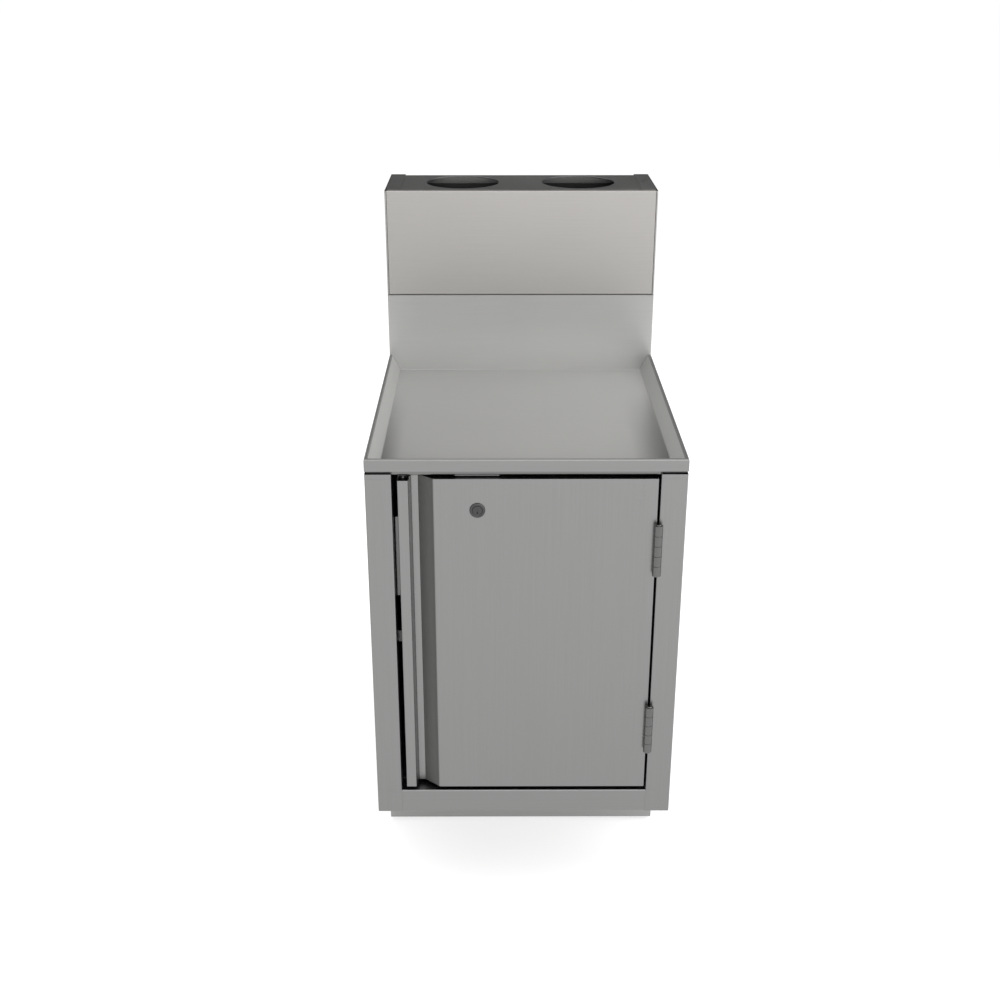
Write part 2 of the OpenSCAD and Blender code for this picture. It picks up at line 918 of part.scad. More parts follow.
// Turning plug with its key slot, and the square tail that drives the cam
module lock_plug() {
    face_y = -lock_face_t - 0.4;
    slot_w = 2;
    slot_h = 8.5;
    color("grey")
        place()
            difference() {
                union() {
                    along_y([lock_x, face_y, lock_z], plug_d, cam_y - face_y);
                    block(
                        [lock_x - tail_w / 2, cam_y - cut, lock_z - tail_w / 2],
                        [lock_x + tail_w / 2, cam_y + tail_l, lock_z + tail_w / 2]
                    );
                }
                block(
                    [lock_x - slot_w / 2, face_y - cut, lock_z - slot_h / 2],
                    [lock_x + slot_w / 2, face_y + door_t / 2, lock_z + slot_h / 2]
                );
                along_y(
                    [lock_x, cam_y + cam_t - cam_screw_l, lock_z],
                    cam_screw_d + 2 * plug_clearance, cam_screw_l + cut
                );
            }
}

// Cam that turns up behind the strike
module lock_cam() {
    color("silver")
        place()
            translate([lock_x, cam_y, lock_z])
                difference() {
                    union() {
                        rotate([-90, 0, 0])
                            cylinder(d = 1.4 * cam_w, h = cam_t);
                        block([0, 0, -cam_w / 2], [cam_l, cam_t, cam_w / 2]);
                    }
                    block(
                        [-tail_w / 2 - plug_clearance, -cut, -tail_w / 2 - plug_clearance],
                        [tail_w / 2 + plug_clearance, cam_t + cut, tail_w / 2 + plug_clearance]
                    );
                }
}

module cam_screw() {
    y = cam_y + cam_t;
    color("silver")
        place() {
            along_y([lock_x, y, lock_z], cam_screw_head_d, cam_screw_head_t);
            along_y([lock_x, y - cam_screw_l + cut, lock_z], cam_screw_d, cam_screw_l);
        }
}

// Strike behind the top rail: over the door's top, then down behind its back
module lock_strike() {
    y0 = top_rail_setback + body_t;
    y1 = strike_leg_y + body_t;
    z = door_z1 + strike_gap;
    color("grey")
        place() {
            across(lock_x - strike_w / 2, lock_x + strike_w / 2)
                sheet([
                    [y0, opening_z1], [y0, z], [y1, z]
                ]);
            block(
                [lock_x - strike_w / 2, strike_leg_y, door_z1 - strike_leg],
                [lock_x + strike_w / 2, y1, z + body_t / 2]
            );
        }
}

// Bracket on the stile's return, which stops the door and carries the magnetic catch
module catch_bracket() {
    y = door_back_y + catch_gap;
    z = catch_z;
    x1 = opening_x0 + catch_reach;
    magnet_x = (door_x0 + x1) / 2;
    color("grey")
        place()
            difference() {
                upright(z - catch_h / 2, z + catch_h / 2)
                    sheet([[opening_x0, stile_return], [opening_x0, y], [x1, y]]);
                block(
                    [magnet_x - magnet_w / 2 - fit_gap, y - cut, z - magnet_h / 2 - fit_gap],
                    [magnet_x + magnet_w / 2 + fit_gap, y + body_t + cut, z + magnet_h / 2 + fit_gap]
                );
            }
}

// Magnetic catch behind its bracket, with its nose through the bracket's window
module magnetic_catch() {
    y = door_back_y + catch_gap;
    z = catch_z;
    x = (door_x0 + opening_x0 + catch_reach) / 2;
    nose_y = door_back_y + keeper_t + fit_gap;
    ear = 4;
    color("white")
        place() {
            block([x - magnet_w / 2, nose_y, z - magnet_h / 2], [x + magnet_w / 2, y + body_t + magnet_d, z + magnet_h / 2]);
            block(
                [x - magnet_w / 2, y + body_t, z - magnet_h / 2 - ear],
                [x + magnet_w / 2, y + body_t + magnet_d / 3, z + magnet_h / 2 + ear]
            );
        }
}

// Steel plate on the back of the door, which the magnet holds
module catch_keeper() {
    z = catch_z;
    x = (door_x0 + opening_x0 + catch_reach) / 2;
    color("silver")
        place()
            block([x - magnet_w / 2, door_back_y, z - magnet_h / 2], [x + magnet_w / 2, door_back_y + keeper_t, z + magnet_h / 2]);
}

module door_bumpers() {
    y = door_back_y + fit_gap;
    x = (door_x0 + opening_x0 + catch_reach) / 2;
    color("black")
        place()
            for (s = [-1, 1])
                along_y([x, y, catch_z + s * (catch_h / 2 - bumper_d)], bumper_d, catch_gap - fit_gap);
}

// Heights of the knuckles that belong to the door (odd = 1) or to the frame (odd = 0)
module knuckle_row(odd) {
    pitch = hinge_h / knuckles;
    for (z = hinge_z)
        for (k = [odd:2:knuckles - 1])
            translate([0, 0, z - hinge_h / 2 + k * pitch + knuckle_gap / 2])
                upright(0, pitch - knuckle_gap)
                    children();
}

// Leaves of both hinges, one side of each
module hinge_leaves(odd, x0) {
    bore = pin_d / 2 + pin_clearance;
    difference() {
        union() {
            for (z = hinge_z)
                block([x0, 0, z - hinge_h / 2], [x0 + leaf_t, leaf_d, z + hinge_h / 2]);
            knuckle_row(odd) {
                translate([axis_x, -axis_proud])
                    circle(r = barrel_r);
                translate([x0, -axis_proud + bore + 0.5])
                    square([leaf_t, axis_proud - bore]);
            }
        }
        for (z = hinge_z)
            translate([axis_x, -axis_proud, z - hinge_h / 2 - cut])
                cylinder(r = bore, h = hinge_h + 2 * cut);
    }
}

module hinge_door_leaves() {
    color("silver")
        place()
            hinge_leaves(1, door_x1);
}

module hinge_frame_leaves() {
    color("silver")
        place()
            hinge_leaves(0, opening_x1 - leaf_t);
}

module hinge_pins() {
    color("silver")
        place()
            for (z = hinge_z)
                translate([axis_x, -axis_proud, z - hinge_h / 2]) {
                    translate([0, 0, -pin_head_t])
                        cylinder(d = pin_d, h = hinge_h + 2 * pin_head_t);
                    for (end = [-pin_head_t, hinge_h])
                        translate([0, 0, end])
                            cylinder(d = 0.72 * barrel_d, h = pin_head_t);
                }
}

module shelf() {
    y0 = stile_return + shelf_in;
    y1 = back_y - back_flange - shelf_gap;
    z = shelf_top_z;
    color("silver")
        place()
            across(body_t + shelf_gap, unit_w - body_t - shelf_gap)
                sheet([[y1, z - shelf_lip], [y1, z], [y0, z], [y0, z - shelf_lip]]);
}

// Clips on the side walls that carry the shelf
module shelf_clips() {
    z = shelf_top_z - body_t;
    depth = back_y - stile_return;
    color("grey")
        place()
            for (side = [0, 1])
                for (y = [stile_return + depth / 5, back_y - depth / 5])
                    translate([side * unit_w, y - clip_l / 2, 0])
                        mirror([side, 0, 0]) {
                            block([body_t, 0, z - clip_l], [body_t + clip_t, clip_l, z]);
                            block([body_t, 0, z - clip_t], [body_t + clip_l, clip_l, z]);
                        }
}

module shell_bolts() {
    head_t = 4;
    color("silver")
        place()
            for (x = [bolt_x, unit_w - bolt_x])
                for (y = bolt_y)
                    translate([x, y, base_h + body_t]) {
                        cylinder(d = 1.8 * bolt_d, h = head_t, $fn = 6);
                        translate([0, 0, -bolt_l])
                            cylinder(d = bolt_d, h = bolt_l + head_t / 2);
                    }
}

module shell_nuts() {
    nut_t = 5;
    color("silver")
        place()
            for (x = [bolt_x, unit_w - bolt_x])
                for (y = bolt_y)
                    translate([x, y, base_h - base_t - nut_t])
                        difference() {
                            cylinder(d = 1.8 * bolt_d, h = nut_t, $fn = 6);
                            translate([0, 0, -cut])
                                cylinder(r = bolt_d / 2 + fit_gap / 2, h = nut_t + 2 * cut);
                        }
}

side_left();
side_right();
bottom_rail();
top_rail();
back_panel();
cabinet_floor();
floor_channel_front();
floor_channel_rear();
rear_rail_top();
rear_rail_bottom();
worktop();
deck_channel_front();
deck_channel_middle();
deck_channel_rear();
riser_end_left();
riser_end_right();
riser_front_panel();
riser_top();
riser_back();
kick_panel();
base_side_left();
base_side_right();
base_rear();
foot_plates();
foot_front_left();
foot_front_right();
foot_rear_left();
foot_rear_right();
foot_lock_nuts();
door_skin();
door_pull();
door_back_plate();
door_stiffener();
door_screws();
lock_body();
lock_nut();
lock_plug();
lock_cam();
cam_screw();
lock_strike();
catch_bracket();
magnetic_catch();
catch_keeper();
door_bumpers();
hinge_door_leaves();
hinge_frame_leaves();
hinge_pins();
shelf();
shelf_clips();
shell_bolts();
shell_nuts();
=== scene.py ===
# %% [markdown]
# An underbar cabinet of stainless sheet: a dished worktop, a riser with two round holes, a lockable
# door with a full height pull recess, and a base set back under the shell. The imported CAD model
# gives every piece its place. This lesson gives the sheets their rounded folds and their brushed
# finish.
# %% Load the frame
import math

import bmesh
import bpy
from mathutils import Matrix, Vector


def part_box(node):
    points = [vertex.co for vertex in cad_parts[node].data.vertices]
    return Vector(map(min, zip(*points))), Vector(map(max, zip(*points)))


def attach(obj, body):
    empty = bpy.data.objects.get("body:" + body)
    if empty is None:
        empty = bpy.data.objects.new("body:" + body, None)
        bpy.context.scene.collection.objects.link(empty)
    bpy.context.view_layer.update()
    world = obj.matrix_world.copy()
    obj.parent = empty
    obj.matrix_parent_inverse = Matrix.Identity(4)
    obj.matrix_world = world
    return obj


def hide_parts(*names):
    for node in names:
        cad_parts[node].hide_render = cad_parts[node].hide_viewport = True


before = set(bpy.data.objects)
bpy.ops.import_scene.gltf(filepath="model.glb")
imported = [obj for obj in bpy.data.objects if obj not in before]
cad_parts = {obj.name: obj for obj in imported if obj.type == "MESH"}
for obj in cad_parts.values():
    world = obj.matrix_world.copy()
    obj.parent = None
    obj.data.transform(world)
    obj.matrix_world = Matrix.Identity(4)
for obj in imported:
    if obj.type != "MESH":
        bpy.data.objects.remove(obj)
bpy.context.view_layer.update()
MM = 0.001

# %% [markdown]
# The camera stands where the photograph was taken from. Its place, tilt and lens were worked out
# from edges of the cabinet, so that the render and the photograph can be laid over each other. The
# lens is given for a sensor 36 mm wide, and the tilt is measured down from the horizon.
# %% Camera
SENSOR_WIDTH = 36.0
LENS = 47.58
CAMERA_PLACE = (-0.0424, -2.0528, 1.4380)
CAMERA_DOWN = math.radians(23.182)
CAMERA_RIGHT = math.radians(0.175)

camera_data = bpy.data.cameras.new("camera")
camera_data.sensor_width = SENSOR_WIDTH
camera_data.lens = LENS
camera = bpy.data.objects.new("camera", camera_data)
bpy.context.scene.collection.objects.link(camera)
camera.location = CAMERA_PLACE
camera.rotation_euler = (math.pi / 2 - CAMERA_DOWN, 0, -CAMERA_RIGHT)
bpy.context.scene.camera = camera
print("camera", tuple(camera.location), "lens", LENS)

# %% [markdown]
# Satin stainless is a bright metal whose surface is scratched by a belt in one direction. Three
# things make it: a fine stretched noise as bump, which blurs reflections across the grain, a
# roughness that drifts slowly, as a wiped surface does, and a tone that hardly changes. The grain
# follows the longer way of each piece, because a blank is cut along the belt's direction.
# %% Brushed steel
GRAIN_ACROSS = 950.0
GRAIN_ALONG = 7.0
GRAIN_CONTRAST = 0.025


def add_node(tree, kind, **values):
    node = tree.nodes.new(kind)
    for key, value in values.items():
        if key in node.inputs:
            node.inputs[key].default_value = value
        else:
            setattr(node, key, value)
    return node


def noise(tree, place, scale, detail, roughness):
    made = add_node(tree, "ShaderNodeTexNoise", Scale=scale, Detail=detail, Roughness=roughness)
    tree.links.new(place, made.inputs["Vector"])
    return made.outputs["Fac"]


def spread(tree, value, low, high, start=0.3, stop=0.7):
    made = add_node(tree, "ShaderNodeMapRange")
    made.inputs["From Min"].default_value = start
    made.inputs["From Max"].default_value = stop
    made.inputs["To Min"].default_value = low
    made.inputs["To Max"].default_value = high
    tree.links.new(value, made.inputs["Value"])
    return made.outputs["Result"]


def tinted(tree, value, dark, light):
    made = add_node(tree, "ShaderNodeMix", data_type="RGBA")
    made.inputs["A"].default_value = (*dark, 1)
    made.inputs["B"].default_value = (*light, 1)
    tree.links.new(value, made.inputs["Factor"])
    return made.outputs["Result"]


def object_place(tree):
    return add_node(tree, "ShaderNodeTexCoord").outputs["Object"]


def raised(tree, shader, height, strength, distance):
    relief = add_node(tree, "ShaderNodeBump", Strength=strength, Distance=distance)
    tree.links.new(height, relief.inputs["Height"])
    tree.links.new(relief.outputs["Normal"], shader.inputs["Normal"])


def new_finish(name):
    material = bpy.data.materials.new(name)
    material.use_nodes = True
    return material, material.node_tree, material.node_tree.nodes["Principled BSDF"]


def brushed_steel(name, tone, grain_axis, rough=(0.27, 0.34), bump=0.05, metal=1.0):
    material, tree, shader = new_finish(name)
    shader.inputs["Metallic"].default_value = metal
    place = object_place(tree)
    stretch = add_node(tree, "ShaderNodeMapping")
    scale = [GRAIN_ACROSS] * 3
    scale["XYZ".index(grain_axis)] = GRAIN_ALONG
    stretch.inputs["Scale"].default_value = scale
    tree.links.new(place, stretch.inputs["Vector"])
    grain = noise(tree, stretch.outputs["Vector"], 1.0, 3.0, 0.6)
    wiped = noise(tree, place, 5.0, 4.0, 0.55)
    dark = [c * (1 - GRAIN_CONTRAST) for c in tone]
    light = [c * (1 + GRAIN_CONTRAST) for c in tone]
    colour = tinted(tree, spread(tree, grain, 0, 1), dark, light)
    tree.links.new(colour, shader.inputs["Base Color"])
    tree.links.new(spread(tree, wiped, *rough), shader.inputs["Roughness"])
    raised(tree, shader, grain, bump, 0.0004)
    return material


SATIN_TONE = (0.255, 0.255, 0.252)
# painted light: the tray's part of the worktop sheet gets this lighter copy of the satin steel
TOP_PAINTED_LIGHT_TONE = (0.385, 0.384, 0.376)
RISER_TONE = (0.317, 0.308, 0.295)
# painted shade: a darker copy of the steel for the slanted wall of the pull recess
RECESS_PAINTED_SHADE_TONE = (0.182, 0.182, 0.178)
# painted light: a lighter copy of the steel, brightening the base in the shade under the shell
BASE_PAINTED_LIGHT_TONE = (0.302, 0.302, 0.298)
PLATE_TONE = (0.32, 0.318, 0.312)
steel_across = brushed_steel("satin steel, grain across", SATIN_TONE, "X")
steel_upright = brushed_steel("satin steel, grain upright", SATIN_TONE, "Z")
steel_deep = brushed_steel("satin steel, grain front to back", SATIN_TONE, "Y")
steel_worktop = brushed_steel("worktop steel", TOP_PAINTED_LIGHT_TONE, "X", rough=(0.30, 0.36), metal=0.6)
steel_riser = brushed_steel("riser steel", RISER_TONE, "X", rough=(0.34, 0.42), metal=0.9)
steel_recess_painted_shade = brushed_steel("recess steel", RECESS_PAINTED_SHADE_TONE, "Z", rough=(0.50, 0.56))
steel_kick_painted_light = brushed_steel("base steel", BASE_PAINTED_LIGHT_TONE, "X")
steel_plate = brushed_steel("riser plate steel", PLATE_TONE, "X", rough=(0.26, 0.33))
print("steels:", steel_across.name, "/", steel_worktop.name, "/", steel_riser.name)

# %% [markdown]
# The other finishes are the mill finish of the hidden sheets, the turned steel of hinges and
# fasteners, the dull plated zinc of the lock, moulded plastic for the magnet's housing and rubber
# for the bumpers. The faces inside the riser, where little light comes, get a darker copy of the
# steel, which is painted shade, and so do the brackets and the upper rail in the gaps round the
# door.
# %% Other finishes
INNER_TONE = (0.26, 0.26, 0.258)
# painted shade: a darker copy of the steel for the brackets and the upper rail in the gaps round
# the door
BRACKET_PAINTED_SHADE_TONE = (0.175, 0.175, 0.173)
HINGE_TONE = (0.134, 0.134, 0.132)
# painted shade: a darker copy of the steel for faces inside the riser
INSIDE_PAINTED_SHADE_TONE = (0.105, 0.105, 0.104)
FASTENER_TONE = (0.34, 0.34, 0.335)
ZINC_TONE = (0.070, 0.070, 0.070)
mill_steel = brushed_steel("mill finish steel", INNER_TONE, "X", rough=(0.34, 0.46), bump=0.04)
bracket_steel_painted_shade = brushed_steel("bracket steel", BRACKET_PAINTED_SHADE_TONE, "Z", rough=(0.30, 0.38), bump=0.04)
hinge_steel = brushed_steel("hinge steel", HINGE_TONE, "Z", rough=(0.24, 0.32))
riser_inside_painted_shade = brushed_steel("riser inside steel", INSIDE_PAINTED_SHADE_TONE, "X", rough=(0.24, 0.32))
fastener_steel = brushed_steel("fastener steel", FASTENER_TONE, "Y", rough=(0.28, 0.36), bump=0.03)
lock_zinc = brushed_steel("plated zinc", ZINC_TONE, "Y", rough=(0.26, 0.34), bump=0.02)


def moulded(name, colour, rough, bump, size):
    material, tree, shader = new_finish(name)
    place = object_place(tree)
    fine = noise(tree, place, size, 2.0, 0.5)
    wear = noise(tree, place, 30.0, 3.0, 0.5)
    dark = [c * 0.9 for c in colour]
    tree.links.new(tinted(tree, wear, dark, colour), shader.inputs["Base Color"])
    tree.links.new(spread(tree, wear, rough, rough + 0.1), shader.inputs["Roughness"])
    raised(tree, shader, fine, bump, 0.0002)
    return material


catch_plastic = moulded("moulded catch plastic", (0.72, 0.72, 0.70), 0.45, 0.15, 1800.0)
bumper_rubber = moulded("bumper rubber", (0.035, 0.035, 0.037), 0.6, 0.3, 2500.0)

# %% [markdown]
# Every CAD node keeps its shape and gets one of these finishes. The grain runs along each piece.
# %% Finish the CAD nodes
FINISH = {
    steel_upright: "side_left side_right door_skin door_pull",
    steel_plate: "riser_back",
    steel_deep: "base_side_left base_side_right riser_end_left riser_end_right",
    steel_across: "bottom_rail top_rail riser_front_panel riser_top worktop",
    steel_kick_painted_light: "kick_panel base_rear",
    mill_steel: "back_panel cabinet_floor floor_channel_front floor_channel_rear rear_rail_top "
    "rear_rail_bottom deck_channel_front deck_channel_middle deck_channel_rear foot_plates "
    "door_back_plate door_stiffener catch_keeper shelf shelf_clips",
    bracket_steel_painted_shade: "catch_bracket lock_strike",
    hinge_steel: "hinge_door_leaves hinge_frame_leaves hinge_pins",
    fastener_steel: "door_screws shell_bolts shell_nuts foot_lock_nuts foot_front_left "
    "foot_front_right foot_rear_left foot_rear_right",
    lock_zinc: "lock_body lock_nut lock_plug lock_cam cam_screw",
    catch_plastic: "magnetic_catch",
    bumper_rubber: "door_bumpers",
}


def finish_with(obj, material):
    obj.data.materials.clear()
    obj.data.materials.append(material)


for material, names in FINISH.items():
    for name in names.split():
        finish_with(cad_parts[name], material)
print("nodes finished:", sum(1 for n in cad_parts.values() if n.data.materials))

# %% [markdown]
# Everything below is written in millimetres from the cabinet's left front corner at the floor, the
# way a fabricator's drawing is. The corner itself and the driving sizes are read off the packed
# nodes, so a piece always lands on the node that it dresses.
# %% The cabinet's own corner
CORNER = Vector((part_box("side_left")[0][0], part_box("side_left")[0][1], 0.0))


def at(x, y, z):
    return CORNER + Vector((x, y, z)) * MM


def reach(node):
    low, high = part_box(node)
    return tuple((Vector(low) - CORNER) / MM), tuple((Vector(high) - CORNER) / MM)


WIDTH = reach("side_right")[1][0]
TOTAL_DEPTH = reach("side_left")[1][1]
BASE_TOP = reach("side_left")[0][2]
SIDE_TOP = reach("side_left")[1][2]
print("width", round(WIDTH, 1), "depth", round(TOTAL_DEPTH, 1))
print("sides from", round(BASE_TOP, 1), "to", round(SIDE_TOP, 1))

# %% [markdown]
# A sheet mirrors the room round it, so it is seldom one tone from end to end. In the photograph the
# front is a little darker near the floor. A few lamps can't give all of that, so light and shade
# are
# painted into a finish: its tone is multiplied by a number that changes with the place on the
# sheet, in millimetres from the same corner.
# %% Painted light and shade along a sheet
PAINTED_SHADE_LOW, PAINTED_SHADE_HIGH = 0.87, 0.95


def along(tree, axis, low, high, start, stop):
    split = add_node(tree, "ShaderNodeSeparateXYZ")
    tree.links.new(object_place(tree), split.inputs[0])
    number = "XYZ".index(axis)
    ends = [at(mm, mm, mm)[number] for mm in (start, stop)]
    return spread(tree, split.outputs[number], low, high, *ends)


def joined(tree, operation, one, two):
    made = add_node(tree, "ShaderNodeMath", operation=operation)
    tree.links.new(one, made.inputs[0])
    tree.links.new(two, made.inputs[1])
    return made.outputs[0]


def blended(tree, part, outside, inside):
    made = add_node(tree, "ShaderNodeMix", data_type="FLOAT")
    tree.links.new(part, made.inputs["Factor"])
    tree.links.new(outside, made.inputs["A"])
    tree.links.new(inside, made.inputs["B"])
    return made.outputs["Result"]


# multiplies a finish's tone by painted light and shade
def paint_light_and_shade(material, factor):
    tree = material.node_tree
    shade = tree.nodes["Principled BSDF"].inputs["Base Color"]
    scale = add_node(tree, "ShaderNodeVectorMath", operation="SCALE")
    tree.links.new(shade.links[0].from_socket, scale.inputs[0])
    tree.links.new(factor, scale.inputs["Scale"])
    tree.links.new(scale.outputs[0], shade)


# painted shade: the shell's fronts get darker towards the floor
for material in (steel_across, steel_upright):
    paint_light_and_shade(material, along(material.node_tree, "Z", PAINTED_SHADE_LOW, PAINTED_SHADE_HIGH, BASE_TOP, SIDE_TOP))
print("front's tone near the floor", PAINTED_SHADE_LOW, "of the tone at its top", PAINTED_SHADE_HIGH)

# %% [markdown]
# Nearly every piece of this cabinet is sheet, bent along straight lines. A plain box has no bends,
# and a Bevel modifier alone gives a fold that is as thick as it is wide. So a sheet is drawn here
# as a fabricator sees it: a path of straight runs, a thickness to the left of it, and one inner
# radius. Each corner becomes an arc, with the outer face one thickness further out.
# %% Bending a sheet
BODY_T = 1.2
TOP_T = 1.5
BEND_R = 0.8
BEND_STEPS = 8


def left_of(v):
    return Vector((-v.y, v.x))


def bend_points(a, b, c, off, t, r, steps):
    into, out = (b - a).normalized(), (c - b).normalized()
    side = 1 if into.x * out.y - into.y * out.x > 0 else -1
    angle = into.angle(out)
    path_r = r + t if side > 0 else r
    centre = b - into * path_r * math.tan(angle / 2) + left_of(into) * side * path_r
    spoke = -side * left_of(into) * (path_r - side * off)
    turns = [Matrix.Rotation(side * angle * i / steps, 2) for i in range(steps + 1)]
    return [centre + turn @ spoke for turn in turns]


def face_of(path, off, t, radii, steps):
    points = [path[0] + off * left_of((path[1] - path[0]).normalized())]
    for i in range(1, len(path) - 1):
        points += bend_points(path[i - 1], path[i], path[i + 1], off, t, radii[i - 1], steps)
    return points + [path[-1] + off * left_of((path[-1] - path[-2]).normalized())]


def bent(path, t=BODY_T, r=BEND_R, steps=BEND_STEPS):
    path = [Vector(p) for p in path]
    radii = r if isinstance(r, (list, tuple)) else [r] * (len(path) - 2)
    return face_of(path, 0, t, radii, steps) + face_of(path, t, t, radii, steps)[::-1]


print("points in a sheet with two bends:", len(bent([(0, 0), (20, 0), (20, 20), (40, 20)])))

# %% [markdown]
# An outline becomes a piece by drawing it out along one axis. Several outlines may go into one
# mesh, as flanges are welded on. The Bevel modifier breaks the sheared edges, where a deburring
# tool has passed, and Weighted Normal keeps the wide faces flat in the shading while the bends stay
# round.
# %% Drawing out, and finishing a piece
TURN = {
    "X": lambda u, v, w: (w, u, v),
    "Y": lambda u, v, w: (u, w, v),
    "Z": lambda u, v, w: (u, v, w),
}


def draw_out(bm, outline, axis, low, high):
    rings = []
    for level in (low, high):
        rings.append([bm.verts.new(at(*TURN[axis](p[0], p[1], level))) for p in outline])
    skin(bm, rings, closed=True)
    bm.faces.new(rings[0])
    bm.faces.new(rings[1])


def skin(bm, rings, closed=False):
    bands = []
    for one, two in zip(rings, rings[1:]):
        sides = range(len(one) if closed else len(one) - 1)
        ends = [(i, (i + 1) % len(one)) for i in sides]
        bands.append([bm.faces.new((one[i], one[j], two[j], two[i])) for i, j in ends])
    return bands


def plate(bm, low, high):
    corners = [(low[0], low[1]), (high[0], low[1]), (high[0], high[1]), (low[0], high[1])]
    draw_out(bm, corners, "Z", low[2], high[2])


SHARP = math.radians(35)


def piece(name, bm, material, nodes, body="cabinet", edge=0.2, second=None):
    bmesh.ops.recalc_face_normals(bm, faces=bm.faces)
    for corner in bm.edges:
        if not edge and corner.calc_face_angle(0) > SHARP:
            corner.smooth = False
    mesh = bpy.data.meshes.new(name)
    bm.to_mesh(mesh)
    bm.free()
    mesh.polygons.foreach_set("use_smooth", [True] * len(mesh.polygons))
    for finish in (material, second):
        if finish:
            mesh.materials.append(finish)
    obj = bpy.data.objects.new(name, mesh)
    bpy.context.scene.collection.objects.link(obj)
    if edge:
        broken = obj.modifiers.new("broken edges", "BEVEL")
        broken.width = edge * MM
        broken.segments = 2
        broken.limit_method = "ANGLE"
        broken.angle_limit = SHARP
        broken.use_clamp_overlap = True
    flat = obj.modifiers.new("flat faces", "WEIGHTED_NORMAL")
    flat.keep_sharp = True
    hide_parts(*nodes.split())
    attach(obj, body)


print("helpers ready")

# %% [markdown]
# The side walls are folded round the front: the stile and, beside the door, a return. Below the
# opening the fold ends with the stile, because the bottom rail is welded in there. Where the tray's
# flank comes down, the return is shorter. A tab inside the top edge closes the gap under the
# worktop's skirt.
# %% Sides of the shell
BOTTOM_RAIL_TOP = reach("bottom_rail")[1][2]
GAP = 0.2
STILE = 38.1
STILE_RETURN = 33.2
SIDE_FLANGE = 26.0
DECK_UNDER = reach("back_panel")[1][2]
FLANK_CLEAR = 25.8
TAB_IN, TAB_REAR = 9.0, 4.0
TAB_DOWN, TAB_UP = 10.0, 7.0
SHELL_STEPS = 6


def mirrored(bm):
    middle = at(WIDTH / 2, 0, 0).x
    for v in bm.verts:
        v.co.x = 2 * middle - v.co.x


def side_wall(flip):
    bm = bmesh.new()
    outside = [(SIDE_FLANGE, TOTAL_DEPTH), (0, TOTAL_DEPTH), (0, 0), (STILE, 0)]
    returns = ([], [(STILE, STILE_RETURN)], [(STILE, FLANK_CLEAR)])
    levels = (BASE_TOP, BOTTOM_RAIL_TOP, DECK_UNDER - GAP, SIDE_TOP)
    for end, low, high in zip(returns, levels, levels[1:]):
        draw_out(bm, bent(outside + end, steps=SHELL_STEPS), "Z", low, high)
    foot = (SIDE_FLANGE, TOTAL_DEPTH - BODY_T, BASE_TOP + BODY_T)
    plate(bm, (BODY_T, 2 * BODY_T, BASE_TOP), foot)
    tab = (TAB_IN + BODY_T, TOTAL_DEPTH - TAB_REAR, SIDE_TOP + TAB_UP)
    plate(bm, (TAB_IN, TAB_IN, SIDE_TOP - TAB_DOWN), tab)
    if flip:
        mirrored(bm)
    return bm


for name, flip in (("side_wall_left", False), ("side_wall_right", True)):
    piece(name, side_wall(flip), steel_upright, name.replace("_wall", ""))
print("stile", STILE, "return", STILE_RETURN)

# %% [markdown]
# Two rails close the front frame. The lower one is a channel that is flush with the stiles. The
# upper one stands back, so a dark line shows between the door and the worktop, and the lock's
# strike hangs from it. Its steel is a darker copy, which is painted shade under the worktop's
# skirt.
# %% Rails of the front
RAIL_RETURN = 21.2
RAIL_ROUND = 2.4
RAIL_R = 1.6
OPENING_TOP = reach("top_rail")[0][2]
TOP_RAIL_BACK = reach("top_rail")[0][1]
TOP_RAIL_HEIGHT = reach("top_rail")[1][2] - OPENING_TOP
TOP_RAIL_FLANGE = reach("top_rail")[1][1] - TOP_RAIL_BACK
OPENING_LEFT, OPENING_RIGHT = STILE, WIDTH - STILE

bm = bmesh.new()
lower = [(STILE_RETURN, BOTTOM_RAIL_TOP), (0, BOTTOM_RAIL_TOP), (0, BASE_TOP),
         (RAIL_RETURN, BASE_TOP)]
draw_out(bm, bent(lower, steps=SHELL_STEPS), "X", OPENING_LEFT, OPENING_RIGHT)
piece("front_rail_lower", bm, steel_across, "bottom_rail")
bm = bmesh.new()
rail_top = OPENING_TOP + TOP_RAIL_HEIGHT
rail_foot = OPENING_TOP - RAIL_ROUND
upper = [(TOP_RAIL_BACK, rail_top), (TOP_RAIL_BACK, rail_foot),
         (TOP_RAIL_BACK + TOP_RAIL_FLANGE, rail_foot)]
draw_out(bm, bent(upper, BODY_T, RAIL_R, SHELL_STEPS), "X", OPENING_LEFT, OPENING_RIGHT)
for x0, x1 in ((2 * BODY_T, OPENING_LEFT), (OPENING_RIGHT, WIDTH - 2 * BODY_T)):
    plate(bm, (x0, TOP_RAIL_BACK, OPENING_TOP + GAP), (x1, TOP_RAIL_BACK + BODY_T, rail_top))
# painted shade: the upper rail gets the darker bracket steel under the worktop's skirt
piece("front_rail_upper", bm, bracket_steel_painted_shade, "top_rail")
print("opening", round(BOTTOM_RAIL_TOP, 1), "to", round(OPENING_TOP, 1))

